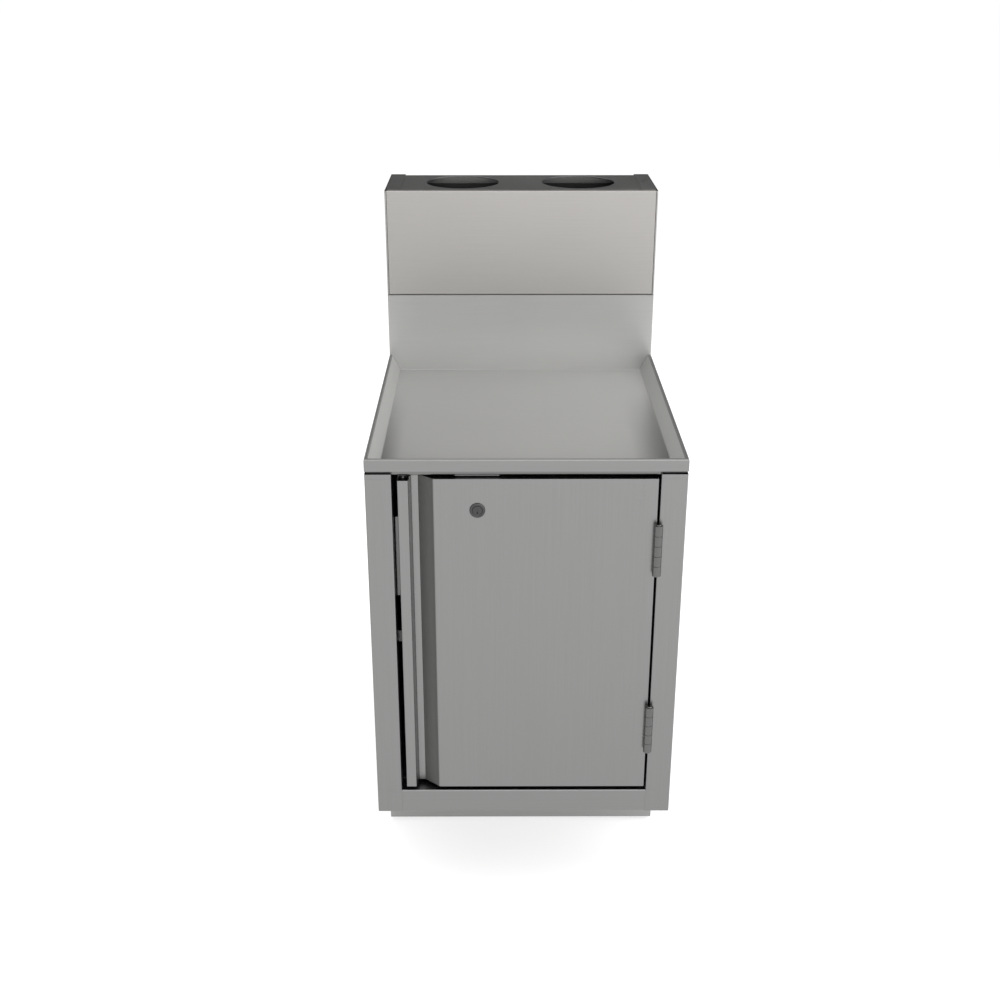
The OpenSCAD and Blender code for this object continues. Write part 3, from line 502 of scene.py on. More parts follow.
# %% [markdown]
# The worktop is pressed and folded from one sheet: a skirt, a flat rim, a flank that falls to the
# deck, and a splash behind. Its flanks lean less at the sides than at the front, so no single
# section can be swept round. Two sections with the same number of points are made instead, one for
# the sides and one for the front, and each ring of the tray takes its side distance from one and
# its front distance from the other. The skirt gets the finish of the shell, because it mirrors what
# the shell mirrors, and the rest of the same sheet gets a lighter copy of the steel: painted light.
# %% Worktop
SKIRT_BOTTOM = reach("riser_end_left")[0][2]
SKIRT_HEIGHT = 18.4
RIM = SKIRT_BOTTOM + SKIRT_HEIGHT
RIM_FLAT = 4.5
RIM_EDGE = 1.7
DISH_DEPTH = 28.0
DECK = RIM - DISH_DEPTH
DECK_EDGE = 12.0
SIDE_RUN, FRONT_RUN = 14.0, 30.0
WORKTOP_DEPTH = reach("riser_front_panel")[0][1]
SPLASH_TOP = reach("worktop")[1][2]
DECK_R, FLANK_R, RIM_R = 0.5, 0.4, 0.35


def rim_section(run):
    foot = RIM_FLAT + run
    path = [(foot + DECK_EDGE, DECK), (foot, DECK), (RIM_FLAT, RIM), (0, RIM), (0, SKIRT_BOTTOM)]
    return bent(path, TOP_T, [DECK_R, FLANK_R, RIM_R])


side_rim, front_rim = rim_section(SIDE_RUN), rim_section(FRONT_RUN)
bm = bmesh.new()
rings = []
for s, f in zip(side_rim, front_rim):
    z = (s.y + f.y) / 2
    ring = [at(s.x, WORKTOP_DEPTH, s.y), at(s.x, f.x, z), at(WIDTH - s.x, f.x, z),
            at(WIDTH - s.x, WORKTOP_DEPTH, s.y)]
    rings.append([bm.verts.new(p) for p in ring])
for s, band in zip(side_rim, skin(bm, rings)):
    for outside in band if s.x < RIM_FLAT and s.y < RIM - RIM_EDGE else []:
        outside.material_index = 1
bm.faces.new(rings[0])
bm.faces.new(rings[-1])
bm.faces.new([ring[0] for ring in rings] + [ring[3] for ring in rings[::-1]])
print("tray rings", len(rings), "deck at", round(DECK, 1))

# %% [markdown]
# The splash is one sheet with the skirt's full width. It meets the deck in a soft inside bend,
# which is why no line shows there on the real one, only a change of tone. At its top it turns back,
# and the gap over it is the seam under the riser's front panel. Both edges of the seam close on
# each other a little.
# %% Splash
SEAM_RETURN = 15.0
SEAM_R = 0.5
SEAM_CLOSE = 0.4
TOUCH = 0.02
INSIDE_BEND_IN = 12.0
seam_edge = SPLASH_TOP + SEAM_CLOSE
splash = [(WORKTOP_DEPTH + SEAM_RETURN, seam_edge), (WORKTOP_DEPTH, seam_edge),
          (WORKTOP_DEPTH, SKIRT_BOTTOM)]
draw_out(bm, bent(splash, TOP_T, SEAM_R), "X", 0, WIDTH)
inside_bend = [(WORKTOP_DEPTH, SKIRT_BOTTOM), (WORKTOP_DEPTH, DECK),
               (WORKTOP_DEPTH - DECK_R - TOUCH, DECK)]
draw_out(bm, bent(inside_bend, TOP_T, DECK_R), "X", INSIDE_BEND_IN, WIDTH - INSIDE_BEND_IN)
piece("dished_worktop", bm, steel_worktop, "worktop", edge=0.25, second=steel_across)
print("splash to", round(SPLASH_TOP, 1))

# %% [markdown]
# The tray's tones are painted light and shade. Its flanks are painted lightest, the thin rim is a
# painted darker line, and the floor has painted shade to the front, most of all in the two front
# corners, where it mirrors the flanks, and painted light to the rear and right. The splash has
# painted shade that darkens it slowly to its top and once more in the last few millimetres, where
# it turns back.
# %% Painted light and shade of the tray
CORNER_PAINTED_SHADE, LEFT_SHARE = 0.36, 0.85
CORNER_RIGHT, CORNER_LEFT, CORNER_REAR = 68, 46, 370
FLANK_FOOT, FLOOR_IN = 18, 40
FRONT_PAINTED_SHADE, REAR_PAINTED_LIGHT = 0.86, 1.12
LEFT_PAINTED_SHADE, RIGHT_PAINTED_LIGHT = 0.96, 1.07
FLANK_PAINTED_LIGHT, RIM_PAINTED_SHADE = 1.28, 0.5
SPLASH_PAINTED_SHADE, SEAM_PAINTED_SHADE = 0.88, 0.7

tree = steel_worktop.node_tree
right = along(tree, "X", 0.0, 1.0, WIDTH - CORNER_RIGHT, WIDTH - FLANK_FOOT)
left = along(tree, "X", 0.0, LEFT_SHARE, CORNER_LEFT, FLANK_FOOT)
to_front = along(tree, "Y", 0.0, 1.0, CORNER_REAR, FLOOR_IN)
# painted shade in the two front corners beside the flanks
corner = joined(tree, "MULTIPLY", joined(tree, "MAXIMUM", right, left), to_front)
painted_floor_light_and_shade = spread(tree, corner, 1.0, CORNER_PAINTED_SHADE, 0.0, 1.0)
for ramp in (along(tree, "Y", FRONT_PAINTED_SHADE, REAR_PAINTED_LIGHT, FLOOR_IN, WORKTOP_DEPTH),
             along(tree, "X", LEFT_PAINTED_SHADE, RIGHT_PAINTED_LIGHT, FLOOR_IN, WIDTH - FLOOR_IN)):
    painted_floor_light_and_shade = joined(tree, "MULTIPLY", painted_floor_light_and_shade, ramp)
painted_flank_light_rim_shade = along(tree, "Z", FLANK_PAINTED_LIGHT, RIM_PAINTED_SHADE, RIM - 2.0, RIM - 1.2)
on_floor = along(tree, "Z", 0.0, 1.0, DECK + 2.5, DECK + 0.5)
painted_tray_light_and_shade = blended(tree, on_floor, painted_flank_light_rim_shade, painted_floor_light_and_shade)
slow = along(tree, "Z", 1.0, SPLASH_PAINTED_SHADE, RIM + 30, SPLASH_TOP)
last = along(tree, "Z", 1.0, SEAM_PAINTED_SHADE, SPLASH_TOP - 2.4, SPLASH_TOP - 0.9)
painted_splash_shade = joined(tree, "MULTIPLY", slow, last)
in_tray = along(tree, "Y", 0.0, 1.0, WORKTOP_DEPTH - 1, WORKTOP_DEPTH - 4)
paint_light_and_shade(steel_worktop, blended(tree, in_tray, painted_splash_shade, painted_tray_light_and_shade))
print("nodes of the worktop's finish:", len(tree.nodes))

# %% [markdown]
# The riser is a box over the pipe space. Its end walls reach the front with a narrow hemmed edge,
# its front panel sits between these hems, and its top plate lies low enough to pass under the
# flanges of both. These flanges are what draws the fine frame round the dark top in the photograph.
# %% Ends and front of the riser
PANEL_BOTTOM = reach("riser_front_panel")[0][2]
RISER_TOP = reach("riser_front_panel")[1][2]
HEM = 3.1
HEM_R = 0.03
END_FLANGE = 25.4
PANEL_FLANGE = 12.0


def riser_end(flip):
    bm = bmesh.new()
    rear, corner = (END_FLANGE, TOTAL_DEPTH), (0, TOTAL_DEPTH)
    low_front = [(0, WORKTOP_DEPTH + TOP_T), (END_FLANGE, WORKTOP_DEPTH + TOP_T)]
    step = SPLASH_TOP - TOP_T - GAP
    draw_out(bm, bent([rear, corner] + low_front, TOP_T), "Z", SKIRT_BOTTOM, step)
    behind = [rear, corner, (0, WORKTOP_DEPTH + TOP_T + SEAM_RETURN)]
    draw_out(bm, bent(behind, TOP_T), "Z", step, PANEL_BOTTOM)
    hem = [rear, corner, (0, WORKTOP_DEPTH), (HEM, WORKTOP_DEPTH),
           (HEM, WORKTOP_DEPTH + SEAM_RETURN)]
    draw_out(bm, bent(hem, TOP_T, [BEND_R, HEM_R, HEM_R]), "Z", PANEL_BOTTOM, RISER_TOP)
    top = RISER_TOP - TOP_T
    rear_edge = TOTAL_DEPTH - TOP_T / 2
    plate(bm, (TOP_T / 2, WORKTOP_DEPTH + HEM, top), (HEM, rear_edge, RISER_TOP))
    behind_panel = (HEM, WORKTOP_DEPTH + PANEL_FLANGE + GAP, top)
    plate(bm, behind_panel, (END_FLANGE, rear_edge, RISER_TOP))
    if flip:
        mirrored(bm)
    return bm


for side, flip in (("left", False), ("right", True)):
    piece("riser_wall_" + side, riser_end(flip), steel_plate, "riser_end_" + side, edge=0.15)

bm = bmesh.new()
y = WORKTOP_DEPTH
low = PANEL_BOTTOM - SEAM_CLOSE
path = [(y + PANEL_FLANGE, RISER_TOP), (y, RISER_TOP), (y, low), (y + SEAM_RETURN, low)]
draw_out(bm, bent(path, TOP_T, SEAM_R), "X", HEM + GAP, WIDTH - HEM - GAP)
piece("riser_face", bm, steel_riser, "riser_front_panel", edge=0.15)
print("riser from", round(PANEL_BOTTOM, 1), "to", round(RISER_TOP, 1))

# %% [markdown]
# The top plate has two large punched holes. A Boolean would leave long thin triangles that spoil
# the shading, so each half of the plate is made as spokes from a square border to a round edge, and
# the edge is rolled over a little, as a punched and dressed hole is. The wall of each hole is in
# shade and gets painted shade, a darker copy of the steel, and the plate's top gets painted light
# that makes it lighter to the right than to the left.
# %% Top plate of the riser
PLATE = reach("riser_top")
PLATE_TOP = PLATE[1][2]
HOLE_R = 62.0
HOLE_ROLL = 1.0
HOLE_SPOKES = 96
HOLE_APART, HOLE_BACK = 200.0, 96.5
HOLE_PLACES = [(WIDTH / 2 + side * HOLE_APART / 2, WORKTOP_DEPTH + HOLE_BACK) for side in (-1, 1)]
TINY = 1e-6
PLATE_PAINTED_LEFT, PLATE_PAINTED_RIGHT = -0.16, 0.20


def border_point(centre, low, high, angle):
    dx, dy = math.cos(angle), math.sin(angle)
    runs = []
    for d, c, lo, hi in ((dx, centre[0], low[0], high[0]), (dy, centre[1], low[1], high[1])):
        if abs(d) > TINY:
            runs.append(((hi if d > 0 else lo) - c) / d)
    run = min(runs)
    return centre[0] + dx * run, centre[1] + dy * run


def spoke_angles(centre, low, high):
    angles = [2 * math.pi * i / HOLE_SPOKES for i in range(HOLE_SPOKES)]
    for x in (low[0], high[0]):
        for y in (low[1], high[1]):
            corner = math.atan2(y - centre[1], x - centre[0]) % (2 * math.pi)
            near = min(range(HOLE_SPOKES), key=lambda i: abs(angles[i] - corner))
            angles[near] = corner
    return angles


def holed_half(bm, centre, low, high):
    angles = spoke_angles(centre, low, high)
    top, bottom = PLATE_TOP, PLATE_TOP - TOP_T
    border = [border_point(centre, low, high, a) for a in angles]
    rolls = [(HOLE_R + HOLE_ROLL - HOLE_ROLL * math.sin(t), top - HOLE_ROLL * (1 - math.cos(t)))
             for t in (0, 0.4, 0.8, 1.2, math.pi / 2)]
    levels = [(border, top)]
    for r, z in rolls + [(HOLE_R, bottom)]:
        circle = [(centre[0] + r * math.cos(a), centre[1] + r * math.sin(a)) for a in angles]
        levels.append((circle, z))
    levels.append((border, bottom))
    rings = [[bm.verts.new(at(x, y, z)) for x, y in points] for points, z in levels]
    skin(bm, rings + rings[:1], closed=True)


bm = bmesh.new()
x0, x1 = HEM + GAP, WIDTH - HEM - GAP
y0, y1 = PLATE[0][1], PLATE[1][1]
holed_half(bm, HOLE_PLACES[0], (x0, y0), (WIDTH / 2, y1))
holed_half(bm, HOLE_PLACES[1], (WIDTH / 2, y0), (x1, y1))
for y in (y0, y1 - 2 * TOP_T):
    plate(bm, (END_FLANGE, y, PLATE[0][2]), (WIDTH - END_FLANGE, y + TOP_T, PLATE_TOP - TOP_T))
rim_of_hole = (HOLE_R + HOLE_ROLL) * MM + TINY
for face in bm.faces:
    spots = [v.co - at(x, y, v.co.z) for v in face.verts for x, y in HOLE_PLACES]
    inside = sum(spot.xy.length < rim_of_hole for spot in spots)
    face.material_index = int(inside == len(face.verts))
# painted shade: the walls of the holes get the darker inside steel
piece("riser_top_plate", bm, steel_plate, "riser_top", edge=0, second=riser_inside_painted_shade)
# painted light: the plate's top is lighter to the right than to the left
tree = steel_plate.node_tree
on_top = along(tree, "Z", 0.0, 1.0, PLATE_TOP - 3.0, PLATE_TOP - 2.0)
painted_plate_light = joined(tree, "MULTIPLY", on_top, along(tree, "X", PLATE_PAINTED_LEFT, PLATE_PAINTED_RIGHT, 0, WIDTH))
paint_light_and_shade(steel_plate, spread(tree, painted_plate_light, 0.5, 1.5, -0.5, 0.5))
print("plate top", round(PLATE_TOP, 1), "hole radius", HOLE_R)

# %% [markdown]
# The door is a pan. Its face and its free edge are two sheets: the face is folded back at the hinge
# side and at both ends, and the free edge is folded into a strip, a steep wall, a floor and a
# slanted wall. That recess is the handle: fingers go in from the right and pull on the steep wall.
# %% Door face
DOOR = reach("door_skin")
DOOR_LEFT = reach("door_pull")[0][0]
DOOR_RIGHT = DOOR[1][0]
DOOR_BOTTOM, DOOR_TOP = DOOR[0][2], DOOR[1][2]
DOOR_T = reach("door_back_plate")[1][1]
LIP_Y = DOOR_T - BODY_T
LIP = 12.0
RECESS = 20.0
STRIP_WIDE, WALL_RUN, RECESS_WIDE, SLANT_RUN = 15.5, 3.4, 9.7, 23.2
WALL_0 = DOOR_LEFT + STRIP_WIDE
WALL_1 = WALL_0 + WALL_RUN
SLANT_0 = WALL_1 + RECESS_WIDE
SLANT_1 = SLANT_0 + SLANT_RUN
SEAT = SLANT_1 - SLANT_RUN / RECESS * BODY_T

bm = bmesh.new()
face = [(SLANT_1, 0), (DOOR_RIGHT, 0), (DOOR_RIGHT, LIP_Y), (DOOR_RIGHT - LIP, LIP_Y)]
draw_out(bm, bent(face), "Z", DOOR_BOTTOM, DOOR_TOP)
wedge = [(SLANT_1, 0), (SLANT_1 + BODY_T, BODY_T), (SEAT, BODY_T)]
draw_out(bm, wedge, "Z", DOOR_BOTTOM, DOOR_TOP)
behind = BODY_T * math.hypot(1, SLANT_RUN / RECESS) + GAP
for z in (DOOR_BOTTOM, DOOR_TOP - BODY_T):
    end = [(SLANT_1 + behind, BODY_T / 2), (DOOR_RIGHT - BODY_T / 2, BODY_T / 2),
           (DOOR_RIGHT - BODY_T / 2, LIP_Y), (SLANT_0 + behind, LIP_Y), (SLANT_0 + behind, RECESS)]
    draw_out(bm, end, "Z", z, z + BODY_T)
for z in (DOOR_BOTTOM + BODY_T / 2, DOOR_TOP - LIP):
    lip_end = (DOOR_RIGHT - BODY_T, LIP_Y, z + LIP - BODY_T / 2)
    plate(bm, (SLANT_1, LIP_Y - BODY_T, z), lip_end)
piece("door_face", bm, steel_upright, "door_skin", body="door", edge=0.25)
print("door across", round(DOOR_LEFT, 1), "to", round(DOOR_RIGHT, 1))
print("door up", round(DOOR_BOTTOM, 1), "to", round(DOOR_TOP, 1))

# %% [markdown]
# The strip stops a little short of the door's top, so the pull is drawn out in two lengths: the
# whole section up to the strip's end, and above it only the part from the steep wall onward. The
# slanted wall has a rougher finish with painted shade, a darker copy of the steel, and painted
# light that makes it lighter at the recess's floor than at the door's face. A tab behind the face
# holds the two sheets together.
# %% Pull recess
STRIP_SHORT = 2.6
STRIP_TOP = DOOR_TOP - STRIP_SHORT
RIDGE_RUN = 1.6
TAB_WIDE = 18.0
SLANT_PAINTED_LIGHT_LOW, SLANT_PAINTED_LIGHT_HIGH = 1.52, 0.64

bm = bmesh.new()
pull = [(DOOR_LEFT + LIP, LIP_Y), (DOOR_LEFT, LIP_Y), (DOOR_LEFT, 0), (WALL_0, 0),
        (WALL_1, RECESS), (SLANT_0, RECESS), (SEAT, BODY_T)]
draw_out(bm, bent(pull), "Z", DOOR_BOTTOM, STRIP_TOP)
ridge = [(WALL_1 - RIDGE_RUN, RECESS / 2), (WALL_1, RECESS), (SLANT_0, RECESS), (SEAT, BODY_T)]
draw_out(bm, bent(ridge), "Z", STRIP_TOP, DOOR_TOP)
for face in bm.faces:
    face.material_index = int(at(SLANT_0 + 1, 0, 0).x < face.calc_center_median().x)
tab_top = (SEAT + TAB_WIDE, 2 * BODY_T, DOOR_TOP - BODY_T - GAP)
plate(bm, (SEAT, BODY_T, DOOR_BOTTOM + BODY_T + GAP), tab_top)
piece("door_pull_recess", bm, steel_upright, "door_pull", body="door", second=steel_recess_painted_shade)
# painted light: the slanted wall is lighter towards the recess's floor
paint_light_and_shade(steel_recess_painted_shade, along(steel_recess_painted_shade.node_tree, "X", SLANT_PAINTED_LIGHT_LOW, SLANT_PAINTED_LIGHT_HIGH, SLANT_0, SLANT_1))
print("recess", RECESS, "deep, floor", RECESS_WIDE, "wide")

# %% [markdown]
# A butt hinge is two leaves whose edges are rolled round one pin. The rolled parts are the
# knuckles, and they take turns: three belong to the frame and two to the door. Each knuckle is
# turned here as a ring of sections with its end edges broken, so the gaps between the knuckles
# catch the light. A turned profile starts a hair off its axis, so that the disc at its end is one
# ring of faces like the rest.
# %% Hinges
LEAF_T = 1.2
LEAF_D = 21.0
FRAME_LEAF = OPENING_RIGHT - LEAF_T
HINGE_AXIS = (FRAME_LEAF - 0.2, -6.6)
BARREL_R = 6.35
BARREL_TALL = 80.0
BARREL_EDGE = 0.5
KNUCKLES = 5
KNUCKLE_GAP = 0.3
PIN_R = 2.5
PIN_PLAY = 0.1
PIN_HEAD, PIN_HEAD_R = 1.2, 4.57
LEAF_OFF_PIN = 0.6
PINS = reach("hinge_pins")
HINGE_STARTS = (PINS[0][2] + PIN_HEAD, PINS[1][2] - PIN_HEAD - BARREL_TALL)
TURNED_SIDES = 48
ON_AXIS = 0.01


def turned(bm, profile, centre, axis="Z", sides=TURNED_SIDES):
    rings = []
    for r, h in profile:
        ring = []
        for i in range(sides):
            a = 2 * math.pi * i / sides
            u, v = centre[0] + r * math.cos(a), centre[1] + r * math.sin(a)
            ring.append(bm.verts.new(at(*TURN[axis](u, v, h))))
        rings.append(ring)
    skin(bm, rings + rings[:1], closed=True)


def both_ends(start, end, half):
    return [(r, start + h) for r, h in half] + [(r, end - h) for r, h in half[::-1]]


def knuckle(bm, low, high):
    outer, e = BARREL_R, BARREL_EDGE
    half = [(PIN_R + PIN_PLAY, 0), (outer - e, 0), (outer - 0.3 * e, 0.3 * e), (outer, e)]
    turned(bm, both_ends(low, high, half), HINGE_AXIS)


def hinge_half(first, leaf_low):
    bm = bmesh.new()
    pitch = BARREL_TALL / KNUCKLES
    for start in HINGE_STARTS:
        plate(bm, (leaf_low, 0, start), (leaf_low + LEAF_T, LEAF_D, start + BARREL_TALL))
        for k in range(first, KNUCKLES, 2):
            low = start + k * pitch + KNUCKLE_GAP / 2
            high = low + pitch - KNUCKLE_GAP
            knuckle(bm, low, high)
            wrap = HINGE_AXIS[1] + PIN_R + LEAF_OFF_PIN
            plate(bm, (leaf_low, wrap, low), (leaf_low + LEAF_T, 0, high))
    return bm


door_half, frame_half = hinge_half(1, DOOR_RIGHT), hinge_half(0, FRAME_LEAF)
piece("hinge_knuckles_door", door_half, hinge_steel, "hinge_door_leaves", body="door", edge=0)
piece("hinge_knuckles_frame", frame_half, hinge_steel, "hinge_frame_leaves", edge=0)

bm = bmesh.new()
for start in HINGE_STARTS:
    half = [(ON_AXIS, -PIN_HEAD), (PIN_HEAD_R - 0.9, -PIN_HEAD), (PIN_HEAD_R, -0.5),
            (PIN_HEAD_R, 0), (PIN_R, 0)]
    turned(bm, both_ends(start, start + BARREL_TALL, half), HINGE_AXIS)
piece("hinge_pin_set", bm, hinge_steel, "hinge_pins", edge=0)
print("hinges start at", [round(start, 1) for start in HINGE_STARTS])

# %% [markdown]
# The lock is a cam lock. Its face is a turned ring with a step and a round shoulder, and the plug
# sits in it with a key slot. Ring and plug are turned about the lock's own axis, which points at
# the viewer.
# %% Lock
LOCK = reach("lock_body")
LOCK_X = (LOCK[0][0] + LOCK[1][0]) / 2
LOCK_Z = (LOCK[0][2] + LOCK[1][2]) / 2
LOCK_FACE, LOCK_END = LOCK[0][1], LOCK[1][1]
LOCK_R = (LOCK[1][0] - LOCK[0][0]) / 2
LOCK_AXIS = (LOCK_X, LOCK_Z)
PLUG_R, PLUG_PLAY = 7.0, 0.06
SHOULDER = 1.4
THREAD_R, THREAD_DEEP = 9.5, 0.45

bm = bmesh.new()
bore = PLUG_R + PLUG_PLAY
ring = [(bore, LOCK_FACE + 0.9), (PLUG_R + 0.5, LOCK_FACE + 0.2), (PLUG_R + 1.1, LOCK_FACE)]
for i in range(7):
    a = math.pi / 2 * i / 6
    round_r = LOCK_R - SHOULDER + SHOULDER * math.sin(a)
    ring.append((round_r, LOCK_FACE + SHOULDER * (1 - math.cos(a))))
ring += [(LOCK_R, 0.0), (THREAD_R, 0.0)]
for i in range(int(LOCK_END - 1)):
    ring += [(THREAD_R, i + 0.5), (THREAD_R - THREAD_DEEP, i + 1.0)]
ring += [(THREAD_R - 0.2, LOCK_END), (bore, LOCK_END)]
turned(bm, ring, LOCK_AXIS, "Y")
piece("lock_ring", bm, lock_zinc, "lock_body", body="door", edge=0)
print("lock at", round(LOCK_X, 1), round(LOCK_Z, 1), "face radius", round(LOCK_R, 2))

# %% [markdown]
# The plug's face is a disc with a narrow slot sunk in it. Spokes from the slot's border to the
# round edge keep it one clean surface, the same way as the holes of the riser. A square tail
# carries the cam.
# %% Plug and its key slot
PLUG = reach("lock_plug")
SLOT_W, SLOT_H, SLOT_DEPTH = 2.0, 8.5, 2.3
TAIL_HALF = 4.0

bm = bmesh.new()
low = (LOCK_X - SLOT_W / 2, LOCK_Z - SLOT_H / 2)
high = (LOCK_X + SLOT_W / 2, LOCK_Z + SLOT_H / 2)
angles = spoke_angles(LOCK_AXIS, low, high)
slot = [border_point(LOCK_AXIS, low, high, a) for a in angles]
face_y = PLUG[0][1]
tail_start = reach("lock_cam")[0][1]
levels = [(slot, face_y + SLOT_DEPTH), (slot, face_y)]
for r, y in ((PLUG_R - 0.4, face_y), (PLUG_R - 0.1, face_y + 0.12), (PLUG_R, face_y + 0.4),
             (PLUG_R, tail_start)):
    levels.append(([(LOCK_X + r * math.cos(a), LOCK_Z + r * math.sin(a)) for a in angles], y))
rings = [[bm.verts.new(at(x, y, z)) for x, z in points] for points, y in levels]
skin(bm, rings, closed=True)
bm.faces.new(rings[0])
bm.faces.new(rings[-1])
plate(bm, (LOCK_X - TAIL_HALF, tail_start, LOCK_Z - TAIL_HALF),
      (LOCK_X + TAIL_HALF, PLUG[1][1], LOCK_Z + TAIL_HALF))
piece("lock_plug_face", bm, lock_zinc, "lock_plug", body="lock", edge=0)
print("plug", round(face_y, 2), "to", round(PLUG[1][1], 1))

# %% [markdown]
# The shell stands on a low base that is set back, so toes and mops reach under its front. The base
# is two channels, in front and behind, with a side panel between them on each side. Each is one
# bent section drawn out along its length, as a press brake makes it. A short plate at each end of a
# side panel closes the way to the channels.
# %% Base
BASE_T = 1.5
BASE_LOW = reach("kick_panel")[0][2]
BASE_FLANGE = 26.0
KICK = reach("kick_panel")[0][1]
SIDE_START, SIDE_END = KICK + BASE_FLANGE + GAP, TOTAL_DEPTH - BASE_FLANGE - GAP
RETURN_IN = 2.4


def channel(back, front, low, high):
    return bent([(back, high), (front, high), (front, low), (back, low)], BASE_T)


bm = bmesh.new()
draw_out(bm, channel(KICK + BASE_FLANGE, KICK, BASE_LOW, BASE_TOP), "X", 0, WIDTH)
piece("base_front", bm, steel_kick_painted_light, "kick_panel")
bm = bmesh.new()
flange_y = TOTAL_DEPTH - BASE_FLANGE
behind = [(flange_y, BASE_LOW), (TOTAL_DEPTH, BASE_LOW), (TOTAL_DEPTH, BASE_TOP),
          (flange_y, BASE_TOP)]
draw_out(bm, bent(behind, BASE_T), "X", 0, WIDTH)
piece("base_behind", bm, steel_kick_painted_light, "base_rear")
for name, flip in (("base_side_left", False), ("base_side_right", True)):
    bm = bmesh.new()
    draw_out(bm, channel(BASE_FLANGE, 0, BASE_LOW, BASE_TOP), "Y", SIDE_START, SIDE_END)
    for y0, y1 in ((KICK + BASE_T, SIDE_START), (SIDE_END, TOTAL_DEPTH - BASE_T)):
        plate(bm, (0, y0, BASE_LOW + RETURN_IN), (BASE_T, y1, BASE_TOP - RETURN_IN))
    if flip:
        mirrored(bm)
    piece(name + "_panel", bm, steel_kick_painted_light, name)
print("base from", round(BASE_LOW, 1), "to", round(BASE_TOP, 1), "set back", round(KICK, 1))

# %% [markdown]
# Four feet level the cabinet. Each is a pad, a collar for the wrench and a threaded stud, turned
# about one axis. The thread is a row of rings in and out, which looks the same as a helix at this
# size.
# %% Levelling feet
FOOT_IN = 45.0
STUD_R, STUD_TOP, THREAD = 5.0, 55.0, 1.5
PAD_R, PAD_T = 19.0, 5.0
COLLAR_R, COLLAR_T = 8.0, 2.7
THREAD_START = 8.0


def levelling_foot(x, y):
    bm = bmesh.new()
    profile = [(ON_AXIS, 0), (PAD_R - 1, 0), (PAD_R, 1), (PAD_R, PAD_T - 0.8),
               (PAD_R - 0.4, PAD_T - 0.2), (PAD_R - 1.2, PAD_T), (STUD_R, PAD_T),
               (STUD_R, THREAD_START)]
    for i in range(int((STUD_TOP - 10) / THREAD)):
        z = THREAD_START + i * THREAD
        profile += [(STUD_R, z + 0.4), (STUD_R - 0.6, z + 1.1)]
    profile += [(STUD_R, STUD_TOP - 1), (STUD_R - 1, STUD_TOP), (ON_AXIS, STUD_TOP)]
    turned(bm, profile, (x, y))
    bore, top = STUD_R - 0.5, PAD_T + COLLAR_T
    collar = [(bore, PAD_T), (COLLAR_R, PAD_T), (COLLAR_R, top - 0.4), (COLLAR_R - 0.6, top),
              (bore, top)]
    turned(bm, collar, (x, y), sides=6)
    return bm


for depth, y in (("front", KICK + FOOT_IN), ("rear", TOTAL_DEPTH - FOOT_IN)):
    for side, x in (("left", FOOT_IN), ("right", WIDTH - FOOT_IN)):
        node = "foot_" + depth + "_" + side
        piece(node + "_slide", levelling_foot(x, y), fastener_steel, node, body=node, edge=0)
print("feet at", FOOT_IN, "from the sides")

# %% [markdown]
# Behind the storage space the cabinet is open for pipes. A back panel closes the storage space, and
# two rails tie the sides together at the rear. The riser's rear panel turns forward along its lower
# edge, and its inner face, which shows through the holes, gets painted shade, a darker copy of the
# steel.
# %% Back
BACK_FLANGE = 15.0
BACK = reach("back_panel")[1][1] - BODY_T
BACK_LOW, BACK_TOP = reach("back_panel")[0][2], reach("back_panel")[1][2]
RAIL_Y = reach("rear_rail_top")[1][1] - BODY_T
RAIL_LIP, RAIL_LIP_UP = 26.0, 40.0
TURN_IN = 12.0

bm = bmesh.new()
side_in, front = WIDTH - BODY_T, BACK - BACK_FLANGE
folded = [(side_in, front), (side_in, BACK), (BODY_T, BACK), (BODY_T, front)]
draw_out(bm, bent(folded), "Z", BACK_LOW, BACK_TOP)
plate(bm, (2 * BODY_T, front, BACK_TOP - BODY_T), (WIDTH - 2 * BODY_T, BACK, BACK_TOP))
piece("storage_back", bm, mill_steel, "back_panel")
bm = bmesh.new()
low, high = reach("rear_rail_top")
lip = low[2] + RAIL_LIP_UP - BODY_T
plate(bm, (low[0], RAIL_Y, low[2]), (high[0], RAIL_Y + BODY_T, high[2]))
plate(bm, (low[0], RAIL_Y - RAIL_LIP, lip), (high[0], RAIL_Y, lip + BODY_T))
piece("rear_tie_top", bm, steel_across, "rear_rail_top")
bm = bmesh.new()
low, high = reach("rear_rail_bottom")
foot_rail = [(RAIL_Y - RAIL_LIP, low[2]), (RAIL_Y + BODY_T, low[2]), (RAIL_Y + BODY_T, high[2])]
draw_out(bm, bent(foot_rail), "X", low[0], high[0])
piece("rear_tie_bottom", bm, steel_across, "rear_rail_bottom")
bm = bmesh.new()
low, high = reach("riser_back")
turned_in = [(low[1] - TURN_IN, low[2]), (high[1], low[2]), (high[1], high[2])]
draw_out(bm, bent(turned_in, TOP_T), "X", low[0], high[0])
# painted shade: the inner face gets the darker inside steel
for face in bm.faces:
    face.material_index = int(face.calc_center_median().y < at(0, high[1] - 1, 0).y)
piece("riser_rear_panel", bm, steel_plate, "riser_back", second=riser_inside_painted_shade)
print("rear rails at", round(RAIL_Y, 1))

# %% [markdown]
# Inside, the floor is a pan turned upside down, and the shelf is a sheet whose front edge is turned
# under twice. The second fold hides the sharp edge and keeps the shelf from sagging.
# %% Floor of the storage space and shelf
SHELF_HEM = 9.0

